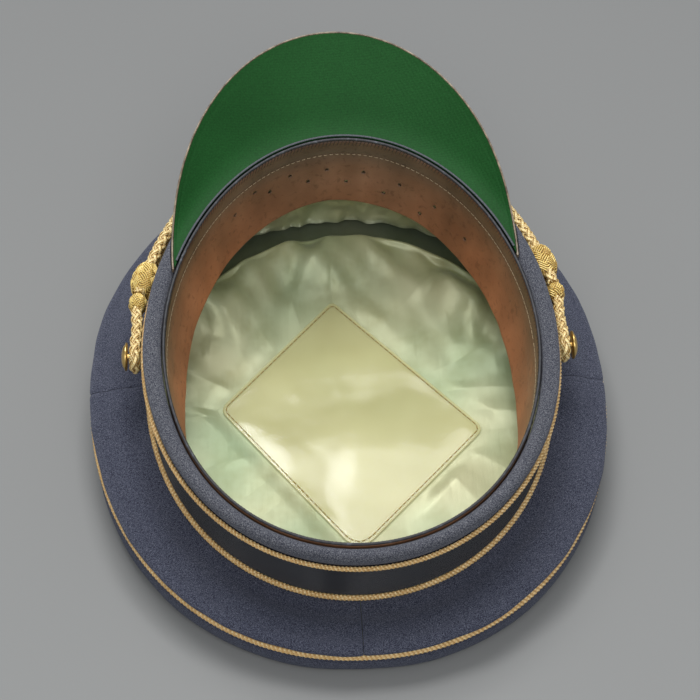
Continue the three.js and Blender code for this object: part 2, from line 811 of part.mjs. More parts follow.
// Loop round a button: a half circle about the shank, then two legs that close up to the end knot.
// Places are [arc length towards the front, height above the cord's middle].
const loopEnd = [22.4, CORD.spread];
const loopPlaces = [
  ...[1, 0.66, 0.33].map((f) => [loopEnd[0] * f, LOOP_RADIUS + (loopEnd[1] - LOOP_RADIUS) * f]),
  ...steps(90, -90, 10).map((a) => [
    -LOOP_RADIUS * Math.cos(rad(a)),
    LOOP_RADIUS * Math.sin(rad(a)),
  ]),
  ...[0.33, 0.66, 1].map((f) => [loopEnd[0] * f, -LOOP_RADIUS - (loopEnd[1] - LOOP_RADIUS) * f]),
];
const mirrored = { right: (a) => a, left: (a) => 180 - a };
for (const [hand, place] of Object.entries(mirrored)) {
  const path = new THREE.CatmullRomCurve3(
    loopPlaces.map(([s, z]) => {
      const angle = place(angleAtArc(s, CORD_OFFSET.button));
      return onBand(angle, cordOffset(angle), z - CORD.depth);
    }),
    false,
    "centripetal",
  );
  add(opening, hand + "_cord_loop", tube(path.getPoints(36), CORD.radius, 8, false), goldBraid);

  // Bound knot that joins the two strands to the loop.
  const swell = [0.72, 0.93, 1, 1, 0.93, 0.72];
  const knotAngles = steps(END_KNOT.from, END_KNOT.to, swell.length - 1);
  add(
    opening,
    hand + "_end_knot",
    loft(
      knotAngles.map((a, i) =>
        steps(0, 360, 12)
          .slice(0, 12)
          .map((q) =>
            onBand(
              place(a),
              cordOffset(a) + END_KNOT.halfThickness * swell[i] * Math.cos(rad(q)),
              -CORD.depth + END_KNOT.halfHeight * swell[i] * Math.sin(rad(q)),
            ),
          ),
      ),
      false,
    ),
    goldBraid,
  );

  // Slide knot: a sleeve with an oblong bore that both strands run through.
  const bulge = [0.9, 0.97, 1, 1, 1, 0.97, 0.9];
  const slideFrom = SLIDE_KNOT.from[hand];
  const slideAngles = steps(slideFrom, slideFrom + SLIDE_KNOT.length, bulge.length - 1);
  const boreHalf = CORD.radius + SLEEVE.play;
  const around = steps(0, 360, 16).slice(0, 16);
  const ring = (a, k) =>
    around.map((q) => {
      const c = Math.cos(rad(q));
      const s = Math.sin(rad(q));
      return onBand(
        place(a),
        cordOffset(a) + SLEEVE.halfThickness * k * Math.sign(c) * Math.abs(c) ** 0.7,
        -CORD.depth + SLEEVE.halfHeight * k * Math.sign(s) * Math.abs(s) ** 0.7,
      );
    });
  const bore = (a) =>
    around.map((q) => {
      const c = Math.cos(rad(q));
      const s = Math.sin(rad(q));
      return onBand(
        place(a),
        cordOffset(a) + boreHalf * c,
        -CORD.depth + boreHalf * s + CORD.spread * Math.sign(Math.round(s * 100)),
      );
    });
  add(
    opening,
    hand + "_slide_knot",
    loft(
      [
        ...slideAngles.map((a, i) => ring(a, bulge[i])),
        ...slideAngles.toReversed().map((a) => bore(a)),
      ],
      true,
    ),
    goldBraid,
  );

  // Domed button with its shank through the band, held by a washer on the inside.
  add(
    opening,
    hand + "_side_button",
    turned(
      [
        [0, BUTTON.end],
        [BUTTON.shank, BUTTON.end],
        [BUTTON.shank, BUTTON.rim],
        [BUTTON.radius - 0.8, BUTTON.rim],
        [BUTTON.radius, BUTTON.rim + 0.5],
        [BUTTON.radius - 0.4, BUTTON.rim + 1.5],
        [BUTTON.radius * 0.72, BUTTON.top - 0.9],
        [BUTTON.radius * 0.38, BUTTON.top - 0.2],
        [0, BUTTON.top],
      ],
      place(0),
    ),
    gilt,
  );
  add(
    opening,
    hand + "_button_washer",
    turned(
      [
        [WASHER.hole, WASHER.inner],
        [WASHER.radius, WASHER.inner],
        [WASHER.radius, WASHER.outer],
        [WASHER.hole, WASHER.outer],
      ],
      place(0),
      20,
    ),
    springSteel,
  );
}

// The part's origin is on the floor, at the middle of its plan.
const plan = new THREE.Box3().setFromObject(peakedCap, true).getCenter(new THREE.Vector3());
cap.position.y = -plan.y;

export default peakedCap;
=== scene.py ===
# Looks for the peaked cap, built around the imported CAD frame. Geometry is worked out in millimetres in the
# CAD's own curves and written to meshes in metres.
import math

import bpy
import numpy as np
from mathutils import Matrix, Vector


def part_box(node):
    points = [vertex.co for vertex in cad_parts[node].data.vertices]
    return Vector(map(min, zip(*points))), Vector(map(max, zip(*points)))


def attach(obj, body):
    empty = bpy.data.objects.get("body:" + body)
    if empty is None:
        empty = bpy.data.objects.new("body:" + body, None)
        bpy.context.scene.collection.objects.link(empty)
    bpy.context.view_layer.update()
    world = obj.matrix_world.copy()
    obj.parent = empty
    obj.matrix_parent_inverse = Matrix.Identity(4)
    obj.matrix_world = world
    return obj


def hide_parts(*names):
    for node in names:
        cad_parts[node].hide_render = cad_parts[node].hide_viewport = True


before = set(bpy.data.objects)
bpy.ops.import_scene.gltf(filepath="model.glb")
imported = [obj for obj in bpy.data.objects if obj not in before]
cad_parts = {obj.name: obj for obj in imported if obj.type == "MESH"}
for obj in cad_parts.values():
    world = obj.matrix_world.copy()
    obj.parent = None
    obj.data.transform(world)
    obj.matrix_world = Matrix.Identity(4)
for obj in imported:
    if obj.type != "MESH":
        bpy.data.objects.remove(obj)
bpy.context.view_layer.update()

MM = 0.001

# ---------------------------------------------------------------- sizes shared with the CAD

HALF_WIDTH, HALF_LENGTH, FRONT_TAPER = 90.0, 110.0, 0.06
TILT = math.radians(8.9)
OPENING_HEIGHT = 76.0
EDGE_THICKNESS, EDGE_REAR_THINNING, EDGE_DEPTH = 6.5, 1.9, 7.6
RIM_PIPING_OFFSET = 0.8
BAND_TOP, BAND_BOTTOM = 10.7, 38.3
CROWN_START = 41.5
RIM_A, RIM_B, RIM_Y, RIM_N = 115.4, 137.1, 8.0, 2.15
RIM_HEIGHT, RIM_SIDE_RISE = 14.1, 7.4
CORD_DEPTH, CORD_RADIUS, CORD_SPREAD = 18.5, 2.75, 2.95
CORD_AT_BUTTON, CORD_AT_KNOTS, CORD_AT_FRONT = 5.6, 8.4, 5.0
LOOP_RADIUS, LOOP_LEG = 4.9, 22.4
END_KNOT = (11.6, 15.4)
SLIDE_KNOT = {"right": (18.2, 25.6), "left": (16.0, 23.4)}
SHIELD_CORNERS = [(-4.3, 76, 3), (-59.2, 12.2, 5), (1.2, -71, 12), (62.6, -2.8, 5)]
SWEATBAND_DEPTH = 42.0
VISOR_SEAM = (19.5, 162.4)
VISOR_PHASE, VISOR_YAW, VISOR_SLOPE, VISOR_BEND = -3.5, math.radians(1.1), math.radians(25), 6.8
VISOR_HALF_WIDTH, VISOR_CENTRE_Y, VISOR_REACH, VISOR_INNER = 77.8, 41.5, 108.8, -6.2
VISOR_BINDING = 1.0

piping_low, piping_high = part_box("crown_piping")
PLAN_Y = RIM_Y - (piping_low.y + piping_high.y) / 2 / MM


def sind(a):
    return np.sin(np.radians(a))


def cosd(a):
    return np.cos(np.radians(a))


def smooth(x):
    x = np.clip(x, 0, 1)
    return x * x * (3 - 2 * x)


# ---------------------------------------------------------------- curves


def edge_thickness(angle):
    return EDGE_THICKNESS - EDGE_REAR_THINNING * smooth((-sind(angle) - 0.2) / 0.75)


def band(angle, offset):
    """x, y on the band oval, moved outwards by offset. Angle 0 is +X, 90 the front."""
    angle = np.asarray(angle, float)
    c, s = cosd(angle), sind(angle)
    taper = 1 - FRONT_TAPER * s
    dx = -HALF_WIDTH * (s * taper + FRONT_TAPER * c * c)
    dy = HALF_LENGTH * c
    length = np.hypot(dx, dy)
    return HALF_WIDTH * c * taper + dy / length * offset, HALF_LENGTH * s - dx / length * offset


def tilted(x, y, z):
    """A point of the tilted opening frame in the row frame."""
    x, y, z = np.broadcast_arrays(np.asarray(x, float), y, z)
    return np.stack(
        [
            x,
            y * math.cos(TILT) - z * math.sin(TILT) - PLAN_Y,
            y * math.sin(TILT) + z * math.cos(TILT) + OPENING_HEIGHT,
        ],
        -1,
    )


def on_band(angle, offset, z):
    return tilted(*band(angle, offset), z)


def rim(angle, offset, z):
    """Point on the crown rim, moved outwards by offset."""

    def at(a):
        c, s = cosd(a), sind(a)
        k = (np.abs(c) ** RIM_N + np.abs(s) ** RIM_N) ** (-1 / RIM_N)
        return RIM_A * k * c, RIM_B * k * s

    angle = np.asarray(angle, float)
    x, y = at(angle)
    x1, y1 = at(angle + 0.5)
    x0, y0 = at(angle - 0.5)
    length = np.hypot(x1 - x0, y1 - y0)
    x = x + (y1 - y0) / length * offset
    y = y - (x1 - x0) / length * offset + RIM_Y - PLAN_Y
    x, y, z = np.broadcast_arrays(x, y, z)
    return np.stack([x, y, z], -1)


def rim_height(angle):
    return RIM_HEIGHT + RIM_SIDE_RISE * cosd(angle) ** 2


def unit(v):
    return v / np.maximum(np.linalg.norm(v, axis=-1, keepdims=True), 1e-12)


def lengths(points):
    """Distance along a polyline at each of its points."""
    return np.concatenate([[0], np.cumsum(np.linalg.norm(np.diff(points, axis=0), axis=1))])


def between(at, run, values):
    """Values (n, k), known at the lengths in run, at other lengths."""
    return np.stack([np.interp(at, run, column) for column in values.T], -1)


def full_turn(count):
    """Angles in radians, evenly spaced round a circle."""
    return np.linspace(0, 2 * math.pi, count, endpoint=False)


def all_round(count):
    """Angles in degrees, evenly spaced round the cap."""
    return np.linspace(0, 360, count, endpoint=False)


def spline(points, share):
    """Centripetal Catmull-Rom through points (k, ..., 3) at each share of the whole, 0 to 1."""
    share = np.atleast_1d(share)
    k = len(points)
    ext = np.concatenate([[2 * points[0] - points[1]], points, [2 * points[-1] - points[-2]]])
    p = np.clip(share, 0, 1) * (k - 1)
    seg = np.minimum(p.astype(int), k - 2)
    t = (p - seg).reshape((-1,) + (1,) * (points.ndim - 1))
    q = [ext[seg + i] for i in range(4)]
    d = [np.linalg.norm(q[i + 1] - q[i], axis=-1, keepdims=True) ** 0.5 + 1e-9 for i in range(3)]
    m1 = ((q[1] - q[0]) / d[0] - (q[2] - q[0]) / (d[0] + d[1]) + (q[2] - q[1]) / d[1]) * d[1]
    m2 = ((q[2] - q[1]) / d[1] - (q[3] - q[1]) / (d[1] + d[2]) + (q[3] - q[2]) / d[2]) * d[1]
    return (
        (2 * q[1] - 2 * q[2] + m1 + m2) * t**3
        + (-3 * q[1] + 3 * q[2] - 2 * m1 - m2) * t**2
        + m1 * t
        + q[1]
    )


def crown_side(angle, share, depth=0.0):
    """Grid (angles, shares) of points on the crown side, depth below the cloth's outer face."""
    angle = np.asarray(angle, float)
    h = rim_height(angle)
    start = on_band(angle, 0.3, -CROWN_START)
    steep = np.clip((start[:, 2] - h - 5) / 35, 0, 1)
    along = on_band(angle + 0.5, 0, 0) - on_band(angle - 0.5, 0, 0)

    def blend(rear, front):
        return rear + (front - rear) * steep

    shoulder = rim(angle, blend(-6, 0.8), h + blend(5.2, 8))
    chord = shoulder - start
    normal = unit(np.cross(chord, along))
    control = np.stack(
        [
            start,
            start + chord * 0.33 - normal,
            start + chord * 0.67 + normal * 0.3,
            shoulder,
            rim(angle, blend(-1.5, 2.0), h + blend(5.4, 5.2)),
            rim(angle, blend(2.0, 2.3), h + blend(3.6, 3.3)),
            rim(angle, 0.95, h + 1.75),
        ]
    )
    share = np.asarray(share, float)
    p = spline(control, share)
    tangent = spline(control, np.minimum(share + 1e-3, 1)) - spline(control, np.maximum(share - 1e-3, 0))
    out = unit(np.cross(tangent, along[None]))
    p, out = p.transpose(1, 0, 2), out.transpose(1, 0, 2)
    return p - out * np.asarray(depth)[..., None]


def cord_offset(angle):
    """Distance of the chin cord's middle from the band."""
    angle = np.asarray(angle, float)
    a = np.minimum(np.abs(angle), np.abs(180 - angle))
    rise = (CORD_AT_KNOTS - CORD_AT_BUTTON) * smooth((a - 5) / 9)
    return CORD_AT_BUTTON + rise - (CORD_AT_KNOTS - CORD_AT_FRONT) * smooth((a - 42) / 23)


# Arc length along the cord's oval from angle 0, for places on the chin cord.
_table_angles = np.linspace(-40, 100, 1401)
_table_arc = lengths(np.stack(band(_table_angles, CORD_AT_BUTTON), -1))
_table_arc -= np.interp(0, _table_angles, _table_arc)


def angle_at(arc):
    return np.interp(arc, _table_arc, _table_angles)


def arc_at(angle):
    return np.interp(angle, _table_angles, _table_arc)


def ripple(p, wavelength, seed, waves=7):
    """Smooth noise between about -1 and 1 at points p (..., 3), in millimetres."""
    rng = np.random.RandomState(seed)
    total = np.zeros(p.shape[:-1])
    for _ in range(waves):
        direction = unit(rng.normal(size=3))
        k = 2 * math.pi / (wavelength * rng.uniform(0.7, 1.5))
        total += np.sin(p @ direction * k + rng.uniform(0, 6.28))
    return total / math.sqrt(waves) / 1.4


# ---------------------------------------------------------------- meshes


class Shape:
    """Vertices and faces gathered from several closed parts, written out as one mesh."""

    def __init__(self):
        self.points, self.faces, self.uvs, self.count = [], [], [], 0
        self.layers = {}

    def add(self, points, faces, uv=None, **layers):
        points = np.asarray(points, float).reshape(-1, 3)
        faces = np.asarray(faces, int)
        a, b, c = points[faces[:, 0]], points[faces[:, 1]], points[faces[:, 2]]
        volume = np.einsum("ij,ij->i", a, np.cross(b, c)).sum()
        if faces.shape[1] == 4:
            d = points[faces[:, 3]]
            volume += np.einsum("ij,ij->i", a, np.cross(c, d)).sum()
        if volume < 0:
            faces = faces[:, ::-1]
        self.points.append(points)
        self.faces.append(faces + self.count)
        self.uvs.append(np.zeros((len(points), 2)) if uv is None else np.asarray(uv).reshape(-1, 2))
        for name in set(self.layers) | set(layers):
            values = np.asarray(layers.get(name, np.zeros(len(points)))).reshape(-1)
            self.layers.setdefault(name, np.zeros(self.count))
            self.layers[name] = np.concatenate([self.layers[name], values])
        self.count += len(points)

    def build(self, name, material, sharp=50):
        points = np.concatenate(self.points) * MM
        mesh = bpy.data.meshes.new(name)
        mesh.from_pydata(points.tolist(), [], [list(map(int, f)) for fs in self.faces for f in fs])
        uv = mesh.uv_layers.new(name="UVMap")
        loops = np.zeros(len(mesh.loops), int)
        mesh.loops.foreach_get("vertex_index", loops)
        uv.data.foreach_set("uv", np.concatenate(self.uvs)[loops].astype(np.float32).ravel())
        for layer, values in self.layers.items():
            mesh.attributes.new(layer, "FLOAT", "POINT").data.foreach_set(
                "value", values.astype(np.float32)
            )
        mesh.polygons.foreach_set("use_smooth", [True] * len(mesh.polygons))
        mesh.set_sharp_from_angle(angle=math.radians(sharp))
        mesh.materials.append(material)
        mesh.update()
        obj = bpy.data.objects.new(name, mesh)
        bpy.context.scene.collection.objects.link(obj)
        return obj


def grid_faces(n, m, wrap_n=False, wrap_m=False, start=0):
    i = np.arange(n if wrap_n else n - 1)
    j = np.arange(m if wrap_m else m - 1)
    i, j = np.meshgrid(i, j, indexing="ij")
    k, l = (i + 1) % n, (j + 1) % m
    return np.stack([i * m + j, k * m + j, k * m + l, i * m + l], -1).reshape(-1, 4) + start


def sheet_parts(outer, inner, wrap=False):
    """Closed skin between two grids (n, m, 3)."""
    n, m = outer.shape[:2]
    points = np.concatenate([outer.reshape(-1, 3), inner.reshape(-1, 3)])
    o, i = np.arange(n * m).reshape(n, m), np.arange(n * m).reshape(n, m) + n * m
    faces = [grid_faces(n, m, wrap), grid_faces(n, m, wrap, start=n * m)[:, ::-1]]

    def strip(a, b, closed):
        a2, b2 = (np.roll(a, -1), np.roll(b, -1)) if closed else (a[1:], b[1:])
        a1, b1 = (a, b) if closed else (a[:-1], b[:-1])
        faces.append(np.stack([a1, b1, b2, a2], -1))

    strip(o[:, 0], i[:, 0], wrap)
    strip(i[:, -1], o[:, -1], wrap)
    if not wrap:
        strip(i[0], o[0], False)
        strip(o[-1], i[-1], False)
    return points, np.concatenate(faces)


def disc_parts(rings):
    """Closed body through a row of rings (k, n, 3), closed by quads drawn to a small hub at each end."""
    k, n = rings.shape[:2]
    hubs = [rings[e].mean(0) + (rings[e] - rings[e].mean(0)) * 0.002 for e in (0, -1)]
    full = np.concatenate([hubs[0][None], rings, hubs[1][None]])
    return full.reshape(-1, 3), grid_faces(k + 2, n, wrap_m=True)


def tube_parts(points, normals, width, height, sides=6, closed=False):
    """Tube along points (n, 3): height across the normals, width across the sides."""
    n = len(points)
    if closed:
        tangent = unit(np.roll(points, -1, 0) - np.roll(points, 1, 0))
    else:
        tangent = unit(np.gradient(points, axis=0))
    normals = unit(normals - tangent * np.einsum("ij,ij->i", normals, tangent)[:, None])
    across = np.cross(tangent, normals)
    a = np.arange(sides) * 2 * math.pi / sides
    ring = (
        points[:, None]
        + normals[:, None] * (np.cos(a) * height)[None, :, None]
        + across[:, None] * (np.sin(a) * width)[None, :, None]
    )
    uv = np.stack(np.broadcast_arrays(lengths(points)[:, None], a[None] / (2 * math.pi)), -1)
    if closed:
        return ring.reshape(-1, 3), grid_faces(n, sides, True, True), uv.reshape(-1, 2)
    ends = [points[0] + (ring[0] - points[0]) * 0.02, points[-1] + (ring[-1] - points[-1]) * 0.02]
    ring = np.concatenate([ends[0][None], ring, ends[1][None]])
    uv = np.concatenate([uv[:1], uv, uv[-1:]])
    return ring.reshape(-1, 3), grid_faces(n + 2, sides, wrap_m=True), uv.reshape(-1, 2)


def resample(points, step, closed=False):
    """Evenly spaced points along a polyline, at most step apart."""
    p = np.concatenate([points, points[:1]]) if closed else points
    s = lengths(p)
    count = max(4, int(math.ceil(s[-1] / step)))
    at = np.linspace(0, s[-1], count, endpoint=False) if closed else np.linspace(0, s[-1], count + 1)
    return between(at, s, p), at, s[-1]


# ---------------------------------------------------------------- materials


class Look:
    """A node material with short calls for textures in object space (metres) or from attributes."""

    def __init__(self, name, rough, specular=0.5, **sockets):
        self.m = bpy.data.materials.new(name)
        self.m.use_nodes = True
        self.tree = self.m.node_tree
        self.bsdf = self.tree.nodes["Principled BSDF"]
        sockets = {k.replace("_", " "): v for k, v in sockets.items()}
        self.set(self.bsdf, **{"Specular IOR Level": specular}, Roughness=rough, **sockets)
        self.place = self.node("ShaderNodeTexCoord").outputs["Object"]

    def node(self, kind, **values):
        made = self.tree.nodes.new(kind)
        self.set(made, **values)
        return made

    @staticmethod
    def set(node, **values):
        for key, value in values.items():
            node.inputs[key].default_value = value

    def link(self, a, b):
        self.tree.links.new(a, b)

    def mapped(self, scale, rotation=(0, 0, 0), source=None):
        node = self.node("ShaderNodeMapping", Scale=scale, Rotation=rotation)
        self.link(source or self.place, node.inputs["Vector"])
        return node.outputs["Vector"]

    def noise(self, scale, detail=2.0, rough=0.5, source=None, distortion=0.0):
        node = self.node(
            "ShaderNodeTexNoise", Scale=scale, Detail=detail, Roughness=rough, Distortion=distortion
        )
        self.link(source or self.place, node.inputs["Vector"])
        return node.outputs["Fac"]

    def wave(self, scale, source=None, direction="X", distortion=0.0, profile="SIN"):
        node = self.node("ShaderNodeTexWave", Scale=scale, Distortion=distortion)
        node.bands_direction = direction
        node.wave_profile = profile
        self.link(source or self.place, node.inputs["Vector"])
        return node.outputs["Fac"]

    def attribute(self, name):
        node = self.node("ShaderNodeAttribute")
        node.attribute_name = name
        return node.outputs["Fac"]

    def uv(self):
        return self.node("ShaderNodeTexCoord").outputs["UV"]

    def ramp(self, source, stops):
        node = self.node("ShaderNodeValToRGB")
        elements = node.color_ramp.elements
        while len(elements) < len(stops):
            elements.new(0.5)
        for element, (at, colour) in zip(elements, stops):
            element.position = at
            element.color = (*colour, 1)
        self.link(source, node.inputs["Fac"])
        return node.outputs["Color"]

    def math(self, operation, a, b):
        node = self.node("ShaderNodeMath")
        node.operation = operation
        for socket, value in zip(node.inputs, (a, b)):
            if isinstance(value, (int, float)):
                socket.default_value = value
            else:
                self.link(value, socket)
        return node.outputs["Value"]

    def mix(self, factor, a, b, kind="MIX"):
        node = self.node("ShaderNodeMix")
        node.data_type = "RGBA"
        node.blend_type = kind
        for socket, value in zip((node.inputs[0], node.inputs[6], node.inputs[7]), (factor, a, b)):
            if isinstance(value, (int, float)):
                socket.default_value = value
            elif isinstance(value, tuple):
                socket.default_value = (*value, 1)
            else:
                self.link(value, socket)
        return node.outputs[2]

    def colour(self, output, *shades):
        """Base colour, multiplied by each of the shades."""
        for shade in shades:
            output = self.mix(1.0, output, shade, "MULTIPLY")
        self.link(output, self.bsdf.inputs["Base Color"])

    def along_y(self, source=None):
        split = self.node("ShaderNodeSeparateXYZ")
        self.link(source or self.place, split.inputs["Vector"])
        return split.outputs["Y"]

    def roughness(self, source, low, high):
        node = self.node("ShaderNodeMapRange")
        self.set(node, **{"To Min": low, "To Max": high})
        self.link(source, node.inputs["Value"])
        self.link(node.outputs["Result"], self.bsdf.inputs["Roughness"])

    def bump(self, *layers):
        """Each layer is (height output, strength, distance in metres)."""
        last = None
        for height, strength, distance in layers:
            node = self.node("ShaderNodeBump", Strength=strength, Distance=distance)
            self.link(height, node.inputs["Height"])
            if last is not None:
                self.link(last, node.inputs["Normal"])
            last = node.outputs["Normal"]
        self.link(last, self.bsdf.inputs["Normal"])


def wool_look(name, dark, mid, light):
    tint = (0.62, 0.66, 0.8, 1)
    look = Look(name, 0.95, 0.15, Sheen_Weight=0.2, Sheen_Roughness=0.5, Sheen_Tint=tint)
    fibre = look.noise(3400, 2, 0.8)
    clump = look.noise(1700, 3, 0.75)
    cloud = look.noise(16, 2, 0.5)
    mixed = look.math("ADD", look.math("MULTIPLY", fibre, 0.55), look.math("MULTIPLY", clump, 0.45))
    base = look.ramp(mixed, [(0.4, dark), (0.5, mid), (0.61, light)])
    shade = look.ramp(cloud, [(0.3, (0.84, 0.85, 0.88)), (0.7, (1.0, 1.0, 1.0))])
    look.colour(base, shade)
    look.bump((clump, 0.5, 0.0004), (fibre, 0.6, 0.00035))
    return look.m


wool = wool_look("wool", (0.011, 0.013, 0.024), (0.047, 0.051, 0.079), (0.15, 0.158, 0.2))
edge_wool = wool_look("edge_wool", (0.02, 0.022, 0.033), (0.075, 0.078, 0.098), (0.25, 0.25, 0.26))


def ribbon_look():
    look = Look("ribbon", 0.75, 0.3, Sheen_Weight=0.15, Sheen_Roughness=0.4)
    ribs = look.wave(1.0, look.mapped((90, 1, 1), source=look.uv()), "X")
    weave = look.noise(2400, 2, 0.6)
    look.colour(look.ramp(weave, [(0.35, (0.006, 0.007, 0.012)), (0.7, (0.022, 0.024, 0.036))]))
    look.bump((ribs, 0.5, 0.0003), (weave, 0.3, 0.0002))
    return look.m


ribbon = ribbon_look()


def gold_look(name, dark, mid, light, crevice_shade, metal, rough):
    """Metal-wrapped thread. Each tube is painted darker on the sides that sink between its neighbours:
    painted shade in the crevices.
    """
    look = Look(name, rough, 0.5, Metallic=metal)
    uv = look.uv()
    # Painted shade: the side of each tube facing the core is darkened towards the crevice colour.
    facing = look.math("COSINE", look.math("MULTIPLY", look.along_y(uv), 2 * math.pi), 0)
    outward = look.ramp(facing, [(0.0, crevice_shade), (0.55, (1, 1, 1))])
    threads = look.wave(1.0, look.mapped((0.6, 1.6, 1), source=uv), "DIAGONAL")
    speck = look.noise(1500, 2, 0.6)
    patch = look.noise(120, 2, 0.5)
    tone = look.math("ADD", look.math("MULTIPLY", threads, 0.35), look.math("MULTIPLY", speck, 0.65))
    base = look.ramp(tone, [(0.25, dark), (0.5, mid), (0.75, light)])
    tarnish = look.ramp(patch, [(0.3, (0.84, 0.8, 0.72)), (0.65, (1, 1, 1))])
    look.colour(base, tarnish, outward)
    look.bump((threads, 0.5, 0.00012), (speck, 0.25, 0.0001))
    return look.m


gold_cord = gold_look(
    "gold_cord", (0.78, 0.55, 0.2), (1.0, 0.78, 0.36), (1.0, 0.92, 0.58), (0.4, 0.26, 0.1), 0.05, 0.4
)
gold_knot = gold_look(
    "gold_knot", (0.8, 0.52, 0.12), (1.0, 0.74, 0.22), (1.0, 0.9, 0.42), (0.3, 0.17, 0.04), 0.05, 0.38
)
gold_piping = gold_look(
    "gold_piping", (0.66, 0.4, 0.16), (0.95, 0.66, 0.3), (1.0, 0.84, 0.5), (0.8, 0.7, 0.56), 0.0, 0.5
)


def leather_look():
    look = Look("leather", 0.5, 0.35)
    depth = look.attribute("depth")
    pores = look.noise(1400, 3, 0.6)
    grain = look.noise(330, 3, 0.6, distortion=0.6)
    stain = look.noise(26, 3, 0.6)
    streak = look.noise(60, 2, 0.5, look.mapped((1, 1, 0.12)))
    browns = [(0.3, (0.17, 0.083, 0.04)), (0.5, (0.235, 0.12, 0.06)), (0.72, (0.3, 0.165, 0.088))]
    # The leather is painted darker just below its top edge, painted shade, and lighter and redder further
    # down.
    levels = [(0.0, (0.95, 0.86, 0.84)), (0.1, (0.8, 0.78, 0.78)), (0.22, (0.82, 0.9, 1.0))]
    levels += [(0.45, (1.35, 1.1, 1.0)), (1.0, (1.7, 1.2, 0.98))]
    mottle = look.ramp(streak, [(0.35, (0.85, 0.83, 0.8)), (0.65, (1.08, 1.06, 1.04))])
    fleck = look.ramp(grain, [(0.32, (0.72, 0.7, 0.68)), (0.45, (1, 1, 1))])
    # The leather is painted darker and cooler towards the front: painted shade.
    forward = look.math("MULTIPLY", look.along_y(), 9.0)
    wear_and_shade = look.ramp(forward, [(0.45, (1, 1, 1)), (0.8, (0.62, 0.76, 0.95))])
    look.colour(look.ramp(stain, browns), look.ramp(depth, levels), wear_and_shade, mottle, fleck)
    look.roughness(stain, 0.42, 0.62)
    look.bump((grain, 0.3, 0.0005), (pores, 0.25, 0.00015))
    return look.m


leather = leather_look()


def worn_look(name, rough, scale, stops, strength, distance):
    look = Look(name, rough)
    wear = look.noise(scale, 3, 0.6)
    look.colour(look.ramp(wear, stops))
    look.bump((wear, strength, distance))
    return look.m


blacks = [(0.35, (0.012, 0.012, 0.015)), (0.6, (0.03, 0.03, 0.035)), (0.75, (0.09, 0.1, 0.12))]
dark_edge = worn_look("dark_edge", 0.55, 420, blacks, 0.4, 0.0003)
tans = [(0.3, (0.07, 0.05, 0.035)), (0.5, (0.2, 0.15, 0.1)), (0.75, (0.42, 0.34, 0.24))]
binding = worn_look("visor_edge", 0.35, 260, tans, 0.2, 0.0002)


def satin_look():
    look = Look("satin", 0.33, 0.75, Metallic=0.24, Sheen_Weight=0.15, Sheen_Roughness=0.3)
    cloud = look.noise(13, 2, 0.5)
    weave = look.wave(1.0, look.mapped((2400, 2400, 0), (0, 0, 0.6)), "X")
    slub = look.noise(260, 2, 0.5, look.mapped((1, 0.08, 1), (0, 0, 0.3)))
    stain = look.noise(48, 3, 0.6)
    base = look.ramp(cloud, [(0.28, (0.33, 0.46, 0.27)), (0.5, (0.5, 0.55, 0.33)), (0.7, (0.62, 0.6, 0.36))])
    spots = look.ramp(stain, [(0.33, (0.84, 0.82, 0.74)), (0.55, (1, 1, 1))])
    # Painted shade: a vertex attribute darkens the lining towards a cool grey where it runs into the
    # recesses by the crown top.
    recess_shade_tint = look.ramp(look.attribute("grime"), [(0.0, (1, 1, 1)), (1.0, (0.34, 0.37, 0.4))])
    look.colour(base, spots, recess_shade_tint)
    look.bump((slub, 0.5, 0.0005), (weave, 0.3, 0.0001))
    return look.m


satin = satin_look()


def celluloid_look():
    look = Look("celluloid", 0.09, Alpha=0.42, IOR=1.45)
    cloud = look.noise(14, 3, 0.6)
    look.colour(look.ramp(cloud, [(0.3, (0.6, 0.56, 0.26)), (0.7, (0.76, 0.74, 0.4))]))
    waves = look.noise(30, 2, 0.4)
    scratches = look.noise(900, 2, 0.6, look.mapped((1, 0.05, 1), (0, 0, 0.9)))
    look.bump((waves, 0.3, 0.002), (scratches, 0.04, 0.0002))
    return look.m


celluloid = celluloid_look()


def thread_look(name, dark, light):
    look = Look(name, 0.6)
    speck = look.noise(1800, 2, 0.6)
    look.colour(look.ramp(speck, [(0.35, dark), (0.65, light)]))
    look.bump((speck, 0.3, 0.0001))
    return look.m


cream_thread = thread_look("cream_thread", (0.3, 0.22, 0.13), (0.5, 0.4, 0.26))
old_gold_thread = thread_look("old_gold_thread", (0.16, 0.1, 0.02), (0.36, 0.25, 0.06))
dark_thread = thread_look("dark_thread", (0.015, 0.012, 0.01), (0.05, 0.045, 0.04))
tape = thread_look("tape", (0.03, 0.036, 0.046), (0.08, 0.09, 0.1))


def green_look():
    look = Look("visor_green", 0.6, 0.1)
    grain = look.wave(1.0, look.mapped((210, 330, 210), (0, 0, 0.65)), "DIAGONAL", 1.2)
    cross = look.wave(1.0, look.mapped((210, 330, 210), (0, 0, -0.9)), "DIAGONAL", 1.0)
    cloud = look.noise(18, 2, 0.5)
    speck = look.noise(1500, 2, 0.5)
    base = look.ramp(cloud, [(0.3, (0.009, 0.058, 0.012)), (0.7, (0.012, 0.074, 0.016))])
    look.colour(base, look.ramp(speck, [(0.3, (0.8, 0.8, 0.8)), (0.7, (1.15, 1.15, 1.15))]))
    look.bump((grain, 0.3, 0.0001), (cross, 0.2, 0.0001))
    return look.m


green = green_look()


def patent_look():
    look = Look("patent", 0.12, Coat_Weight=0.8, Coat_Roughness=0.05)
    orange = look.noise(240, 2, 0.5)
    smear = look.noise(30, 3, 0.6)
    look.colour(look.ramp(smear, [(0.3, (0.004, 0.004, 0.005)), (0.7, (0.009, 0.009, 0.011))]))
    look.roughness(smear, 0.08, 0.2)
    look.bump((orange, 0.05, 0.0003))
    return look.m


patent = patent_look()


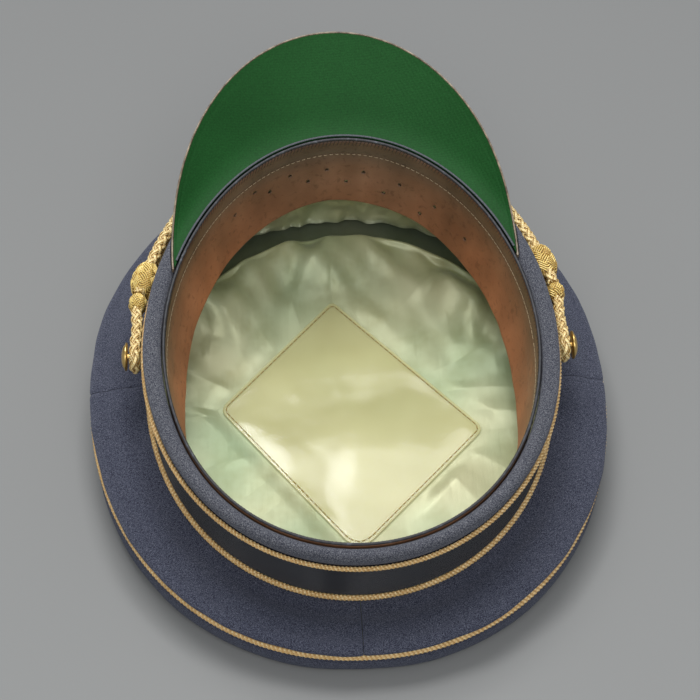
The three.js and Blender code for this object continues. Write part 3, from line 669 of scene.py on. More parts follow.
def metal_look(name, base, wear_and_shade, rough):
    look = Look(name, rough, Metallic=1.0)
    wear = look.noise(180, 3, 0.6)
    fine = look.noise(1600, 2, 0.6)
    look.colour(look.ramp(wear, [(0.35, wear_and_shade), (0.6, base)]))
    look.roughness(wear, rough, rough + 0.18)
    look.bump((fine, 0.15, 0.0001))
    return look.m


gilt = metal_look("gilt", (0.78, 0.55, 0.2), (0.45, 0.29, 0.09), 0.22)
steel = metal_look("spring_steel", (0.45, 0.46, 0.48), (0.25, 0.25, 0.26), 0.3)
card = thread_look("card", (0.2, 0.14, 0.07), (0.36, 0.27, 0.16))
wadding = thread_look("wadding", (0.42, 0.38, 0.3), (0.7, 0.66, 0.55))

# ---------------------------------------------------------------- camera, floor and light

scene = bpy.context.scene
scene.view_settings.view_transform = "Standard"

CAMERA_DISTANCE, CAMERA_ELEVATION, CAMERA_AZIMUTH, CAMERA_ROLL = 1.2, 50.85, -3.97, 1.53
CAMERA_TARGET = Vector((0.69, 14.22 - PLAN_Y, 45.0)) * MM
CAMERA_LENS = 2.21 * 1200 / 700 * 36


def add_camera():
    e, a, r = (math.radians(x) for x in (CAMERA_ELEVATION, CAMERA_AZIMUTH, CAMERA_ROLL))
    back = Vector((math.sin(a) * math.cos(e), -math.cos(a) * math.cos(e), math.sin(e)))
    right = Vector((math.cos(a), math.sin(a), 0))
    up = back.cross(right)
    rolled = right * math.cos(r) + up * math.sin(r)
    upright = up * math.cos(r) - right * math.sin(r)
    camera = bpy.data.cameras.new("camera")
    camera.lens = CAMERA_LENS
    camera.sensor_width = 36
    camera.clip_start = 0.05
    camera.clip_end = 20
    holder = bpy.data.objects.new("camera", camera)
    matrix = Matrix((rolled, upright, back)).transposed().to_4x4()
    matrix.translation = CAMERA_TARGET + back * CAMERA_DISTANCE
    holder.matrix_world = matrix
    scene.collection.objects.link(holder)
    scene.camera = holder


def add_light(name, place, size, energy, aim=(0, 0, 0.04)):
    light = bpy.data.lights.new(name, "AREA")
    light.shape = "RECTANGLE"
    light.size, light.size_y = size
    light.energy = energy
    holder = bpy.data.objects.new(name, light)
    direction = Vector(aim) - Vector(place)
    holder.location = place
    holder.rotation_euler = direction.to_track_quat("-Z", "Y").to_euler()
    scene.collection.objects.link(holder)


def add_floor():
    look = Look("floor", 0.9)
    cloud = look.noise(3, 2, 0.5)
    # The floor is painted darker towards the back, +y: painted shade standing in for the light falling off.
    far = look.math("ADD", look.math("MULTIPLY", look.along_y(), 1.1), 0.5)
    fade = look.ramp(far, [(0.2, (1.0, 1.0, 1.0)), (0.9, (0.75, 0.75, 0.75))])
    base = look.ramp(cloud, [(0.2, (0.25, 0.252, 0.248)), (0.8, (0.262, 0.264, 0.26))])
    look.colour(base, fade)
    mesh = bpy.data.meshes.new("floor")
    s = 6.0
    mesh.from_pydata([(-s, -s, 0), (s, -s, 0), (s, s, 0), (-s, s, 0)], [], [(0, 1, 2, 3)])
    mesh.materials.append(look.m)
    floor = bpy.data.objects.new("floor", mesh)
    scene.collection.objects.link(floor)


add_camera()
add_floor()
add_light("key", (-0.15, 0.8, 1.9), (1.3, 0.9), 32)
add_light("back", (-0.12, 1.08, 1.6), (0.3, 0.15), 2.5)
add_light("front", (0, -1.3, 1.8), (1.6, 0.9), 17)
world = bpy.data.worlds.new("world")
world.use_nodes = True
world.node_tree.nodes["Background"].inputs["Color"].default_value = (0.9, 0.95, 1.0, 1)
world.node_tree.nodes["Background"].inputs["Strength"].default_value = 0.42
scene.world = world

# ---------------------------------------------------------------- crown

CLOTH = 1.3
QUARTERS = {
    "crown_front_right_panel": 0,
    "crown_front_left_panel": 90,
    "crown_rear_left_panel": 180,
    "crown_rear_right_panel": 270,
}


def seam_dip(angle):
    """Depth of the pressed-in cloth beside the seams at 0, 90, 180 and 270 degrees."""
    beside = np.abs((angle + 45) % 90 - 45) * 2.0
    return 0.4 * np.exp(-((beside / 1.1) ** 2)) + 0.06 * np.exp(-(((beside - 4) / 2.2) ** 2))


def make_crown_side(name, start):
    half_gap = 0.06
    inner_angles = start + np.linspace(0, 90, 121)
    near = np.array([0.15, 0.3, 0.5, 0.8, 1.2])
    angles = np.unique(np.concatenate([inner_angles, start + near, start + 90 - near]))
    angles[0] += half_gap
    angles[-1] -= half_gap
    shares = np.concatenate([np.linspace(0, 0.72, 34), np.linspace(0.74, 1, 16)])
    base = crown_side(angles, shares)
    swell = 0.45 * ripple(base, 46, 3) + 0.18 * ripple(base, 17, 8)
    fade = smooth(shares / 0.15) * smooth((1 - shares) / 0.1)
    dip = seam_dip(angles)[:, None] * np.ones(len(shares)) - swell * fade
    shape = Shape()
    inner = crown_side(angles, shares, CLOTH + dip * 0.3)
    shape.add(*sheet_parts(crown_side(angles, shares, dip), inner))
    piece = shape.build("wool_" + name, wool)
    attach(piece, "cap")
    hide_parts(name)


for quarter, first in QUARTERS.items():
    make_crown_side(quarter, first)


def make_crown_top():
    angles = all_round(360)
    h = rim_height(angles)
    flat = -9 * h / RIM_HEIGHT
    one = np.ones_like(h)
    control = [(-48 * one, 0 * h), (-30 * one, 0 * h), (flat, 0 * h), (flat * 0.5, 0.035 * h)]
    control += [(-0.9 * one, 0.15 * h), (0.9 * one, 0.34 * h), (1.6 * one, 0.56 * h)]
    control += [(1.5 * one, 0.76 * h), (0.8 * one, h - 2.0)]
    profile = spline(np.stack([np.stack([o, z, 0 * h], -1) for o, z in control]), np.linspace(0, 1, 57))
    offset, z = profile[..., 0], np.maximum(profile[..., 1], 0)
    outer = np.stack([rim(angles, offset[k], z[k]) for k in range(len(offset))])
    lift = np.maximum(0.25 * ripple(outer, 40, 12), -0.2) * smooth((z - 0.3) / 3) * smooth((h - 2 - z) / 3)
    along = np.roll(outer, -1, 1) - np.roll(outer, 1, 1)
    run = np.gradient(outer, axis=0)
    normal = unit(np.cross(along, run))
    outer = outer + normal * lift[..., None]
    inner = outer - normal * CLOTH
    shape = Shape()
    shape.add(*disc_parts(np.concatenate([outer, inner[::-1]])))
    piece = shape.build("wool_crown_top", wool)
    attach(piece, "cap")
    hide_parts("crown_top_panel")


make_crown_top()

# ---------------------------------------------------------------- pipings


def twisted(name, centre, outward, radius, pitch, material, body, cad_node):
    """Closed piping of two twisted strands along centre (n, 3), with outward normals (n, 3)."""
    path, at, total = resample(centre, 0.55, True)
    normal = unit(between(at, lengths(centre), outward))
    tangent = unit(np.roll(path, -1, 0) - np.roll(path, 1, 0))
    across = np.cross(tangent, normal)
    turns = round(total / pitch)
    shape = Shape()
    small = radius * 0.5
    for k in range(2):
        phase = 2 * math.pi * (turns * at / total + k / 2)
        away = normal * np.cos(phase)[:, None] + across * np.sin(phase)[:, None]
        shape.add(*tube_parts(path + away * (radius - small), away, small * 1.12, small, 6, True))
    piece = shape.build(name, material)
    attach(piece, body)
    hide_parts(cad_node)


ring_angles = all_round(720)


def outward_on_band(angle):
    return unit(on_band(angle, 1, 0) - on_band(angle, 0, 0))


for piping, depth, offset, radius in (
    ("band_lower_piping", 9.3, 1.6, 1.2),
    ("band_upper_piping", 39.9, 0.6, 1.4),
):
    twisted(
        "braid_" + piping,
        on_band(ring_angles, offset, -depth),
        outward_on_band(ring_angles),
        radius,
        3.6,
        gold_piping,
        "cap",
        piping,
    )
twisted(
    "braid_crown_piping",
    rim(ring_angles, RIM_PIPING_OFFSET, rim_height(ring_angles)),
    unit(rim(ring_angles, 1, 0) - rim(ring_angles, 0, 0)),
    1.6,
    4.0,
    gold_piping,
    "cap",
    "crown_piping",
)

# ---------------------------------------------------------------- band and edge roll


def make_band():
    rows = np.linspace(-BAND_TOP - 0.5, -BAND_BOTTOM + 0.5, 24)
    z = np.concatenate([[-BAND_TOP - 0.25], rows, [-BAND_BOTTOM + 0.25]])
    offset = np.where((z > -BAND_TOP - 0.4) | (z < -BAND_BOTTOM + 0.4), -0.35, 0.0)
    a, zz = np.meshgrid(ring_angles, z, indexing="ij")
    base = on_band(a, offset[None] * np.ones_like(a), zz)
    out = outward_on_band(a)
    dent = 0.12 * ripple(base, 30, 5) * smooth((zz + BAND_BOTTOM) / 4) * smooth((-BAND_TOP - zz) / 4)
    outer = base + out * dent[..., None]
    inner = on_band(a, -0.9 + 0 * a, zz)
    shape = Shape()
    points, faces = sheet_parts(outer, inner, wrap=True)
    uv = np.stack(np.broadcast_arrays(lengths(base[:, 5])[:, None] / 10, zz / 10), -1).reshape(-1, 2)
    shape.add(points, faces, np.concatenate([uv, uv]))
    piece = shape.build("ribbon_cap_band", ribbon)
    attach(piece, "cap")
    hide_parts("cap_band")


make_band()


def turned(x, y, angle):
    c, s = math.cos(angle), math.sin(angle)
    return x * c - y * s, x * s + y * c


def visor_reach(angle):
    """Offset from the band at which the visor's outline crosses the edge roll, or the roll's inner face."""

    def inside(offset):
        x, y = turned(*band(angle, offset), -VISOR_YAW)
        return (x / VISOR_HALF_WIDTH) ** 2 + ((y - VISOR_CENTRE_Y) / VISOR_REACH) ** 2 < 1

    low, high = -edge_thickness(angle), np.full(angle.shape, 4.0)
    seated = inside(low)
    for _ in range(20):
        middle = (low + high) / 2
        low, high = np.where(inside(middle), middle, low), np.where(inside(middle), high, middle)
    return np.where(seated, low, -edge_thickness(angle))


def make_edge_roll():
    corners = [np.linspace(16, 33, 120), np.linspace(147, 165, 120)]
    angles = np.unique(np.concatenate([all_round(720)] + corners).round(3))
    reach, inner = visor_reach(angles), -edge_thickness(angles)
    covered = smooth((reach - 0.2) / 0.8)[:, None]
    step = np.where(reach > inner + 1e-3, np.minimum(reach + 0.5, 1.0), inner)[:, None]
    inner = inner[:, None]
    middle = (inner + 1.6) / 2
    top_off = step + (1.2 - step) * np.sin(np.linspace(1, 0, 17)[None] * math.pi / 2)
    dome = -2.2 * (np.abs(top_off - middle) / (1.6 - middle)) ** 2.6
    top_z = dome * (1 - covered) - 2.9 * covered
    low = np.linspace(0, 1, 8)[None] + 0 * step
    outer_off = 0.6 + 1.05 * np.sin(low * math.pi * 0.62) ** 0.9
    outer_z = -EDGE_DEPTH + (-2.6 + EDGE_DEPTH) * low
    outer_off[:, -1] = 1.52
    outer_z = np.minimum(outer_z, -2.6 - 0.8 * covered)
    seat_off = np.concatenate([step - 0.15, step - 0.3 * (step > inner + 0.4)], 1)
    seat_z = np.concatenate([top_z[:, -1:] * 0.35 - 1.9, -2.9 + 0 * step], 1)
    inner_z = np.array([[-3.4, -5.5, -EDGE_DEPTH]]) + 0 * step
    off = np.concatenate([outer_off, top_off, seat_off, inner + 0 * inner_z], 1)
    zz = np.concatenate([outer_z, top_z, seat_z, inner_z], 1)
    off = np.maximum(off, inner)
    a = angles[:, None] + 0 * zz
    base = on_band(a, off, zz)
    bump = 0.16 * ripple(base, 24, 21) + 0.06 * ripple(base, 7, 22) - 0.1
    weight = smooth((zz + EDGE_DEPTH) / 2) * smooth((off - inner - 0.3) / 1.2) * (1 - covered)
    centre = on_band(a, middle + 0 * a, zz * 0 - 4.5)
    base = base + unit(base - centre) * (bump * weight)[..., None]
    shape = Shape()
    shape.add(base, grid_faces(len(angles), base.shape[1], True, True))
    piece = shape.build("wool_edge_roll", edge_wool)
    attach(piece, "cap")
    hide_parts("edge_roll")


make_edge_roll()

# ---------------------------------------------------------------- visor


def band_front(x):
    """y on the front half of the band's outer face at a given x."""
    a = np.linspace(0, 90, 1801)
    bx, by = band(a, 0.5)
    return np.interp(np.abs(x), bx[::-1], by[::-1])


def visor_height(x, y):
    run = y - band_front(x)
    bent = (run + VISOR_BEND) ** 2 / (4 * VISOR_BEND)
    return np.where(np.abs(run) < VISOR_BEND, bent, np.maximum(run, 0)) * math.tan(VISOR_SLOPE)


def visor_outline(share, inset):
    phi = np.radians(VISOR_PHASE + (180 - 2 * VISOR_PHASE) * share)
    x, y = VISOR_HALF_WIDTH * np.cos(phi), VISOR_REACH * np.sin(phi)
    nx, ny = x / VISOR_HALF_WIDTH**2, y / VISOR_REACH**2
    length = np.hypot(nx, ny)
    return turned(x - nx / length * inset, y - ny / length * inset + VISOR_CENTRE_Y, VISOR_YAW)


def visor_grid(depth, inset, ease=0.0):
    share = np.linspace(0.015, 0.985, 300)
    angle = VISOR_SEAM[0] + (VISOR_SEAM[1] - VISOR_SEAM[0]) * share
    seam = np.stack(band(angle, VISOR_INNER), -1)
    tip = np.stack(visor_outline(share, inset), -1)
    f = np.linspace(0, 1, 40)[None, :, None]
    xy = seam[:, None] + (tip - seam)[:, None] * f
    x, y = xy[..., 0], xy[..., 1]
    # A sewn line a few millimetres inside the edge presses the lining in.
    from_edge = np.linalg.norm(tip - seam, axis=1)[:, None] * (1 - f[..., 0])
    press = ease * np.exp(-(((from_edge - 2.6) / 0.5) ** 2))
    return tilted(x, y, visor_height(x, y) - depth - press)


def make_visor():
    for name, node, material, slot, top, low in (
        ("green_visor_lining", "visor_lining", green, "green_cloth", 0.0, 0.7),
        ("patent_visor_board", "visor_board", patent, "patent_black", 1.0, 2.4),
    ):
        shape = Shape()
        ease = 0.15 if top == 0 else 0.0
        inset = VISOR_BINDING + (0.05 if top == 0 else 0.3)
        shape.add(*sheet_parts(visor_grid(top, inset, ease), visor_grid(low, inset)))
        piece = shape.build(name, material)
        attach(piece, "cap")
        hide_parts(node)

    share = np.linspace(0.002, 0.998, 320)
    arc = full_turn(16)
    inset = 0.5 + 0.5 * np.sign(np.cos(arc)) * np.abs(np.cos(arc)) ** 0.7
    z = -1.17 + 1.5 * np.sign(np.sin(arc)) * np.abs(np.sin(arc)) ** 0.7
    ox, oy = visor_outline(share, VISOR_BINDING)
    rings = []
    for i, dz in zip(inset, z):
        x, y = visor_outline(share, i)
        rings.append(tilted(x, y, visor_height(ox, oy) + dz))
    shape = Shape()
    shape.add(*disc_parts(np.stack(rings, 1)))
    piece = shape.build("visor_binding", binding)
    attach(piece, "cap")
    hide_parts("visor_edge_binding")

    angles = np.linspace(VISOR_SEAM[0] + 4, VISOR_SEAM[1] - 4, 320)
    arc = full_turn(12)
    loops = np.stack([on_band(angles, -5.9 + 0.5 * math.cos(t), 0.52 + 0.26 * math.sin(t)) for t in arc], 1)
    shape = Shape()
    shape.add(*disc_parts(loops))
    piece = shape.build("seam_tape", tape)
    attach(piece, "cap")
    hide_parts("visor_seam_tape")


make_visor()

# ---------------------------------------------------------------- sweatband


def sweatband_top(angle):
    return -edge_thickness(angle) - 0.5


def sweatband_offset(angle, depth):
    """Offset of the leather's hidden face at a depth below the opening."""
    c = cosd(angle)
    lean = (6 + 2.5 * c * c) * (1 - 0.55 * smooth(-sind(angle) / 0.55))
    share = np.interp(depth, [1.4, 9, 25, 42], [0, 0.03, 0.42, 1])
    return sweatband_top(angle) - lean * share


def leather_point(angle, depth, proud):
    """Point proud of the leather's visible face."""
    return on_band(angle, sweatband_offset(angle, depth) - 1.1 - proud, -depth)


def punch(piece):
    """Cut the two staggered rows of air holes."""
    holes = [(122.5 - 13.7 * i, 17.5 + 1.75 * i) for i in range(7)]
    holes += [(131.5 - 14.6 * i, 20.5 + 3.0 * i) for i in range(6)]
    shape = Shape()
    theta = full_turn(20)
    for angle, depth in holes:
        out = outward_on_band(np.array(angle))
        up = tilted(0, 0, 1) - tilted(0, 0, 0)
        ring = 0.85 * (np.cos(theta)[:, None] * np.cross(up, out) + np.sin(theta)[:, None] * up)
        ends = [on_band(angle, o, -depth) for o in (-20.0, -7.0)]
        shape.add(*disc_parts(np.stack([end + ring for end in ends])))
    cutter = shape.build("air_holes", dark_edge)
    modifier = piece.modifiers.new("air_holes", "BOOLEAN")
    modifier.operation = "DIFFERENCE"
    modifier.solver = "EXACT"
    modifier.object = cutter
    view = bpy.context.view_layer
    view.objects.active = piece
    with bpy.context.temp_override(object=piece, active_object=piece, selected_objects=[piece]):
        bpy.ops.object.modifier_apply(modifier="air_holes")
    bpy.data.objects.remove(cutter)


def make_sweatband():
    angles = all_round(720)
    depth = np.concatenate([[1.4], np.linspace(1.7, SWEATBAND_DEPTH - 0.4, 44), [SWEATBAND_DEPTH]])
    a, d = np.meshgrid(angles, depth, indexing="ij")
    hidden = on_band(a, sweatband_offset(a, d), -d)
    wave = 0.35 * ripple(hidden, 38, 31) + 0.12 * ripple(hidden, 14, 32)
    proud = wave * smooth((d - 8) / 14)
    # A turned strip above the seam line stands a little proud of the band below it.
    strip = 0.35 * smooth((10.2 - d) / 0.5)
    edge = np.where((d < 1.6) | (d > SWEATBAND_DEPTH - 0.3), -0.35, 0)
    face = leather_point(a, d, proud - 0.25 + strip + edge)
    back = on_band(a, sweatband_offset(a, d) - 0.05 - np.maximum(proud, 0) * 0.5, -d)
    shape = Shape()
    points, faces = sheet_parts(face, back, wrap=True)
    level = (d / SWEATBAND_DEPTH).reshape(-1)
    shape.add(points, faces, depth=np.concatenate([level, level]))
    piece = shape.build("leather_sweatband", leather)
    punch(piece)
    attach(piece, "cap")
    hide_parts("sweatband")


make_sweatband()


def make_reed():
    angles = all_round(540)
    centre = on_band(angles, sweatband_top(angles) - 0.6, -0.2)
    points, faces, uv = tube_parts(centre, outward_on_band(angles), 0.6, 0.7, 10, closed=True)
    shape = Shape()
    shape.add(points, faces, uv)
    piece = shape.build("leather_reed", dark_edge)
    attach(piece, "cap")
    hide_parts("sweatband_reed")


make_reed()


def stitches(name, starts, ends, normals, width, material, lift=0.12):
    """Row of short threads, each an arched tube from start to end."""
    shape = Shape()
    t = np.linspace(0, 1, 6)
    for a, b, n in zip(starts, ends, normals):
        middle = a[None] + (b - a)[None] * t[:, None] + n[None] * (lift * np.sin(math.pi * t))[:, None]
        shape.add(*tube_parts(middle, np.repeat(n[None], len(t), 0), width, width * 0.8, 5))
    piece = shape.build(name, material)
    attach(piece, "cap")
    return piece


def arc_steps(first, last, step, offset):
    """Angles about step millimetres apart along the band oval at an offset."""
    a = np.linspace(first, last, 2000)
    s = lengths(np.stack(band(a, offset), -1))
    return np.interp(np.arange(0, s[-1], step), s, a)


def make_leather_stitches():
    angles = arc_steps(0, 359, 2.6, -9)
    inward = -outward_on_band(angles)
    reach = 1.9 / 95 * 57.3
    starts = leather_point(angles, 10.9, -0.1)
    ends = leather_point(angles + reach, 10.9, -0.1)
    stitches("stitch_line_sweatband", starts, ends, inward, 0.22, cream_thread)
    angles = arc_steps(0, 359, 1.7, -9)
    inward = -outward_on_band(angles)
    starts = on_band(angles, sweatband_top(angles) - 1.2, 0.2)
    ends = leather_point(angles + 0.8, 4.2, 0.05)
    stitches("overcast_sweatband", starts, ends, inward, 0.13, dark_thread)


make_leather_stitches()

# ---------------------------------------------------------------- lining


def area_of(points, faces):
    """Area in square metres of one face of a sheet, from its quads."""
    a, b, c, d = (points[faces[:, k]] for k in range(4))
    cross = np.cross(c - a, d - b)
    return np.linalg.norm(cross, axis=1).sum() / 2 * MM * MM


def make_side_lining():
    angles = all_round(900)
    h = rim_height(angles)

    def crown_inner(share, depth):
        return crown_side(angles, [share], depth)[:, 0]

    control = np.stack(
        [
            on_band(angles, 0.1 - edge_thickness(angles), -8.6),
            on_band(angles, 0.1 - edge_thickness(angles), -25),
            on_band(angles, -edge_thickness(angles), -42.5),
            crown_inner(0.18, 5.6),
            crown_inner(0.4, 6.0),
            rim(angles, -9.0, h - 3.2),
            rim(angles, -12.6, 6.6),
        ]
    )
    rows = 64
    share = np.linspace(0, 1, rows)
    face = spline(control, share).transpose(1, 0, 2)
    turn = np.repeat(angles[:, None], rows, 1) * 1.9
    fold = ripple(np.stack([turn, face[..., 2] * 0.3, 0 * turn], -1), 15, 41)
    fold += 0.5 * ripple(np.stack([turn, face[..., 2] * 0.8, 0 * turn], -1), 9, 42)
    crease = -np.abs(ripple(np.stack([turn * 0.6, face[..., 2] * 1.4, 0 * turn], -1), 12, 43))
    loose = smooth((share - 0.36) / 0.12) * smooth((1 - share) / 0.1)
    deep = smooth((sind(angles[:, None]) - 0.5) / 0.4) * smooth((share - 0.45) / 0.3) * 11
    centre = np.array([0, RIM_Y - PLAN_Y, 30.0])
    inward = unit(centre - face)
    amount = 1.3 + 1.3 * fold + 0.9 * crease
    # Loose cloth hangs in a fold left of the middle of the front.
    droop = np.exp(-(((angles[:, None] - 106) / 3.2) ** 2)) * 3.2
    face = face + inward * ((np.maximum(amount, -0.2) + droop + deep) * loose)[..., None]
    back = face - inward * 0.4
    shape = Shape()
    points, faces = sheet_parts(face, back, wrap=True)
    # Painted shade: the lowest rows of the side lining, down in the recess by the crown top, are marked to
    # be painted darker.
    level = np.broadcast_to(smooth((share - 0.8) / 0.15), face.shape[:2]).reshape(-1)
    shape.add(points, faces, grime=np.concatenate([level, level]))
    piece = shape.build("satin_side_lining", satin)
    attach(piece, "cap")
    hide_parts("side_lining")
    area = area_of(points, grid_faces(len(angles), rows, True))


make_side_lining()


def outside_shield(x, y):
    """Distance in mm outside the shield's straight sides, negative inside."""
    flat = np.array([c[:2] for c in SHIELD_CORNERS], float)
    away = []
    for i in range(4):
        along = unit(flat[(i + 1) % 4] - flat[i])
        away.append((x - flat[i][0]) * along[1] - (y - flat[i][1]) * along[0])
    return np.max(away, axis=0)


def make_top_lining():
    angles = all_round(720)
    rings = np.concatenate([np.linspace(0.03, 0.7, 60), np.linspace(0.705, 1, 70)])
    edge = rim(angles, -12.0, 5.3)
    centre = np.array([0, RIM_Y - PLAN_Y, 5.3])
    p = centre + (edge - centre)[None] * rings[:, None, None]
    x, y = p[..., 0], p[..., 1] + PLAN_Y
    outside = np.maximum(outside_shield(x, y), 0)
    rings = rings[:, None] + 0 * x
    loose = smooth(outside / 10) * smooth((1 - rings) / 0.06)
    theta = np.arctan2(y - 8, x)
    spoke = np.stack([theta * 62, outside * 0.22, 0 * x], -1)
    radial = ripple(spoke, 30, 51)
    fine = ripple(np.stack([theta * 80, outside * 0.5, 0 * x], -1), 11, 54)
    broad = ripple(p, 70, 52)
    crease = 1 - 2 * np.abs(ripple(np.stack([theta * 75, outside * 0.35, 0 * x], -1), 26, 53))
    z = 1.2 + 0.6 * radial + 1.8 * broad + 0.35 * crease + 0.08 * fine
    # At the front the cloth puffs up over the wadding and drops away behind the puff.
    front = smooth((np.sin(theta) - 0.1) / 0.6)
    ridge = 0.81 + 0.012 * ripple(np.stack([theta * 60, 0 * x, 0 * x], -1), 45, 55)
    puff = smooth((rings - ridge + 0.3) / 0.28) * smooth((ridge + 0.05 - rings) / 0.045)
    p[..., 2] += loose * z * (1 - 0.8 * front * (rings > ridge + 0.03))
    p[..., 2] += 8.5 * front * puff * smooth(outside / 12)
    dimples = ripple(p, 33, 58) + 0.4 * ripple(p, 18, 59)
    near = smooth((rings - 0.5) / 0.25) * smooth((ridge + 0.03 - rings) / 0.04)
    p[..., 2] += 5.0 * front * dimples * near * loose
    # Painted shade: the cloth just behind the front puff, down in the recess, is marked to be painted
    # darker.
    dark = front * smooth((rings - ridge - 0.02) / 0.05)
    p[..., 2] = np.maximum(p[..., 2], 5.2)
    back = p.copy()
    back[..., 2] -= 0.35
    shape = Shape()
    points, faces = disc_parts(np.concatenate([p, back[::-1]]))
    grime = np.zeros(len(points))
    grime[len(angles) : len(angles) + dark.size] = dark.reshape(-1)
    shape.add(points, faces, grime=grime)
    piece = shape.build("satin_top_lining", satin)
    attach(piece, "cap")
    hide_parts("top_lining")
    area = area_of(p.reshape(-1, 3), grid_faces(p.shape[0], p.shape[1], wrap_m=True))


make_top_lining()


def shield_outline(inset, count):
    """The shield's outline moved inwards by inset, as evenly spaced points."""
    flat = np.array([c[:2] for c in SHIELD_CORNERS], float)
    corners = []
    for i in range(4):
        before = unit(flat[i] - flat[i - 1])
        after = unit(flat[(i + 1) % 4] - flat[i])
        n0, n1 = np.array([-before[1], before[0]]), np.array([-after[1], after[0]])
        at = flat[i] + (n0 + n1) * inset / (1 + n0 @ n1)
        corners.append((*at, SHIELD_CORNERS[i][2]))
    points = []
    for i, (x, y, r) in enumerate(corners):
        r = max(r - inset, 0.6)
        at = np.array([x, y])
        before = np.array(corners[i - 1][:2])
        after = np.array(corners[(i + 1) % 4][:2])
        start = at + (before - at) / np.linalg.norm(before - at) * r
        end = at + (after - at) / np.linalg.norm(after - at) * r
        for t in np.linspace(0, 1, 10):
            points.append((1 - t) ** 2 * start + 2 * t * (1 - t) * at + t * t * end)
    closed = np.array(points + points[:1])
    s = lengths(closed)
    return between(np.linspace(0, s[-1], count, endpoint=False), s, closed)


def make_shield():
    count = 240
    insets = [0.0, 0.15, 0.6, 1.2, 2.0, 4, 7, 11, 16, 22, 28, 33]
    top, low = [], []
    for inset in insets:
        xy = shield_outline(inset, count)
        place = np.stack([xy[:, 0], xy[:, 1] - PLAN_Y, 0 * xy[:, 0]], -1)
        bow = 0.18 * ripple(place, 55, 61) * smooth(inset / 8)
        z = 6.4 + bow
        if inset == 0.0:
            z = z - 0.12
        top.append(np.stack([place[:, 0], place[:, 1], z], -1))
        low.append(np.stack([place[:, 0], place[:, 1], z - 0.3], -1))
    shape = Shape()
    shape.add(*disc_parts(np.concatenate([np.stack(top[::-1]), np.stack(low)])))
    piece = shape.build("clear_sweat_shield", celluloid)
    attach(piece, "cap")
    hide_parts("sweat_shield")

    outline = shield_outline(1.6, 2400)
    loop = np.concatenate([outline, outline[:1]])
    s = lengths(loop)
    pitch = s[-1] / round(s[-1] / 3.1)
    at = np.arange(0, s[-1] - 1e-6, pitch)

    def place(values):
        xy = between(values % s[-1], s, loop)
        return np.stack([xy[:, 0], xy[:, 1] - PLAN_Y, np.full(len(xy), 6.42)], -1)

    up = np.repeat(np.array([[0, 0, 1.0]]), len(at), 0)
    starts, ends = place(at), place(at + pitch * 0.74)
    stitches("stitch_line_shield", starts, ends, up, 0.24, old_gold_thread)


make_shield()

# ---------------------------------------------------------------- chin cord


def to_side(hand, angle):
    return angle if hand == "right" else 180 - angle


def braided(name, centre, outward, cad_node):
    """Round braid of crossing carriers along centre, with outward normals."""
    path, at, _ = resample(centre, 0.4)
    normal = between(at, lengths(centre), outward)
    tangent = unit(np.gradient(path, axis=0))
    normal = unit(normal - tangent * np.einsum("ij,ij->i", normal, tangent)[:, None])
    across = np.cross(tangent, normal)
    shape = Shape()
    half, pitch = 4, 22.0
    weave, thick, wide = 0.42, 0.55, 1.02
    for way in (1, -1):
        for k in range(half):
            theta = way * 2 * math.pi * at / pitch + 2 * math.pi * k / half
            away = normal * np.cos(theta)[:, None] + across * np.sin(theta)[:, None]
            lift = way * weave * np.cos(half * 2 * math.pi * at / pitch)
            r = CORD_RADIUS - thick - weave + lift
            shape.add(*tube_parts(path + away * r[:, None], away, wide, thick, 8))
    shape.add(*tube_parts(path, normal, CORD_RADIUS * 0.6, CORD_RADIUS * 0.6, 10))
    piece = shape.build(name, gold_cord)
    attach(piece, "chin_cord")
    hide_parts(cad_node)


for strand, side in (("upper", 1), ("lower", -1)):
    cord_angles = np.linspace(END_KNOT[1] + 0.1, 179.9 - END_KNOT[1], 500)
    braided(
        f"braid_{strand}_strand",
        on_band(cord_angles, cord_offset(cord_angles), -CORD_DEPTH + side * CORD_SPREAD),
        outward_on_band(cord_angles),
        f"chin_cord_{strand}_strand",
    )


def knot_point(hand, s, off, z):
    """Row-frame point at arc length s from the button, off and z from the cord's middle."""
    angle = angle_at(s)
    return on_band(to_side(hand, angle), cord_offset(angle) + off, z - CORD_DEPTH)


def make_loop(hand):
    legs = [1, 0.66, 0.33]
    places = [(LOOP_LEG * f, LOOP_RADIUS + (CORD_SPREAD - LOOP_RADIUS) * f) for f in legs]
    for a in np.linspace(90, -90, 11):
        places.append((-LOOP_RADIUS * cosd(a), LOOP_RADIUS * sind(a)))
    places += [(LOOP_LEG * f, -LOOP_RADIUS - (CORD_SPREAD - LOOP_RADIUS) * f) for f in legs[::-1]]
    flat = spline(np.array([(s, z, 0.0) for s, z in places]), np.linspace(0, 1, 200))
    centre = knot_point(hand, flat[:, 0], 0, flat[:, 1])
    outward = outward_on_band(to_side(hand, angle_at(flat[:, 0])))
    braided(f"braid_{hand}_loop", centre, outward, f"{hand}_cord_loop")


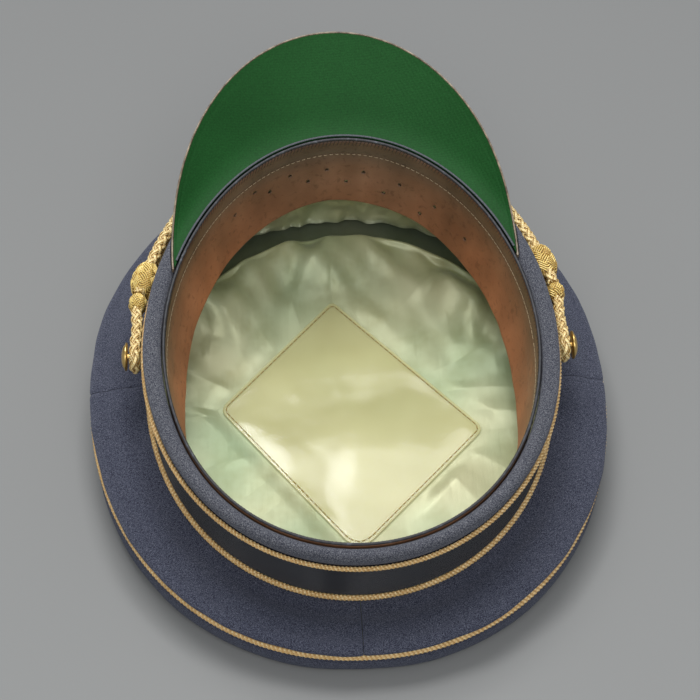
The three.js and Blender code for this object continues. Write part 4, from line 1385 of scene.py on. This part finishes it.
def woven_knot(name, cad_node, body, hand, ends, half_out, half_high, leads, bights, plies, thread):
    """Bands of parallel threads plaited round the cord: leads across, bights round each end."""
    s0, s1 = arc_at(ends[0]), arc_at(ends[1])
    half, middle = (s1 - s0) / 2, (s0 + s1) / 2
    weave = thread * 1.1
    lane = thread * 2.12
    reach = half - thread - lane * (plies - 1) / 2 * 0.75

    def surface(theta, along, proud):
        c, s = np.cos(theta), np.sin(theta)
        x = np.clip(along / half, -1, 1)
        swell = 0.55 + 0.45 * np.sqrt(np.maximum(1 - x**2, 0))
        out, high = half_out - thread - weave, half_high - thread - weave
        off = np.sign(c) * np.abs(c) ** 0.85 * (out * swell + proud)
        z = np.sign(s) * np.abs(s) ** 0.85 * (high * swell + proud)
        return knot_point(hand, middle + along, off, z)

    run_theta = (half_high + half_out) / 2
    shape = Shape()
    count = 160
    for lead in range(leads):
        theta = np.linspace(0, 2 * math.pi, count)
        u = (bights * theta + 2 * math.pi * lead) / leads
        zig = np.arcsin(0.95 * np.sin(u)) / math.asin(0.95)
        slope = np.gradient(zig, theta)
        row = (zig + 1) / 2 * leads
        inside = (row > 0.5) & (row < leads - 0.5)
        lift = np.where(inside, -np.cos(math.pi * row), 0) * np.sign(slope) * weave
        lift = np.convolve(np.concatenate([lift[-4:-1], lift, lift[1:4]]), np.ones(5) / 5, "same")[3:-3]
        run_along = slope * reach
        length = np.hypot(run_theta, run_along)
        for ply in range(plies):
            shift = (ply - (plies - 1) / 2) * lane
            th = theta - run_along / length * shift / run_theta
            al = zig * reach + run_theta / length * shift
            p = surface(th, al, lift)
            core = knot_point(hand, middle + al * 0.6, 0, 0 * al)
            shape.add(*tube_parts(p, unit(p - core), thread, thread, 6))
    # Sleeve under the threads.
    theta = full_turn(48)
    along = np.linspace(-half * 0.93, half * 0.93, 14)
    th, al = np.meshgrid(theta, along, indexing="xy")
    shape.add(*disc_parts(surface(th, al, -thread * 1.2)))
    piece = shape.build(name, gold_knot)
    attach(piece, body)
    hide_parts(cad_node)


def make_button(hand):
    angle = to_side(hand, 0)
    origin = on_band(angle, 0, -CORD_DEPTH)
    out = outward_on_band(angle)
    up = tilted(0, 0, 1) - tilted(0, 0, 0)
    side = np.cross(up, out)
    profile = [(0.02, -4.0), (1.52, -4.0), (1.52, 9.1), (5.5, 9.1), (6.1, 9.22), (6.4, 9.6), (6.4, 9.9)]
    profile += [(6.15, 10.15), (5.8, 10.2), (5.6, 10.05)]
    for a in np.linspace(0.05, math.pi / 2 - 0.02, 12):
        profile.append((5.45 * math.cos(a), 10.0 + 1.8 * math.sin(a)))
    theta = full_turn(48)
    circle = np.cos(theta)[:, None] * side + np.sin(theta)[:, None] * up
    rings = [origin + out * z + r * circle for r, z in profile]
    shape = Shape()
    shape.add(*disc_parts(np.stack(rings)))
    piece = shape.build(f"gilt_{hand}_button", gilt, sharp=35)
    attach(piece, f"{hand}_button")
    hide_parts(f"{hand}_side_button")


for hand in ("left", "right"):
    make_loop(hand)
    bound = (hand, END_KNOT, 4.2, 6.0, 3, 7, 3, 0.44)
    woven_knot(f"woven_{hand}_end_knot", f"{hand}_end_knot", "chin_cord", *bound)
    sleeve = (hand, SLIDE_KNOT[hand], 6.2, 7.6, 5, 7, 4, 0.46)
    woven_knot(f"woven_{hand}_slide_knot", f"{hand}_slide_knot", f"{hand}_slider", *sleeve)
    make_button(hand)

# ---------------------------------------------------------------- CAD nodes that stay

for node, material in {
    "crown_hoop_wire": steel,
    "crown_front_stay": steel,
    "crown_padding": wadding,
    "band_stiffener": card,
    "left_button_washer": steel,
    "right_button_washer": steel,
}.items():
    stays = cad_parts[node]
    stays.data.materials.clear()
    stays.data.materials.append(material)
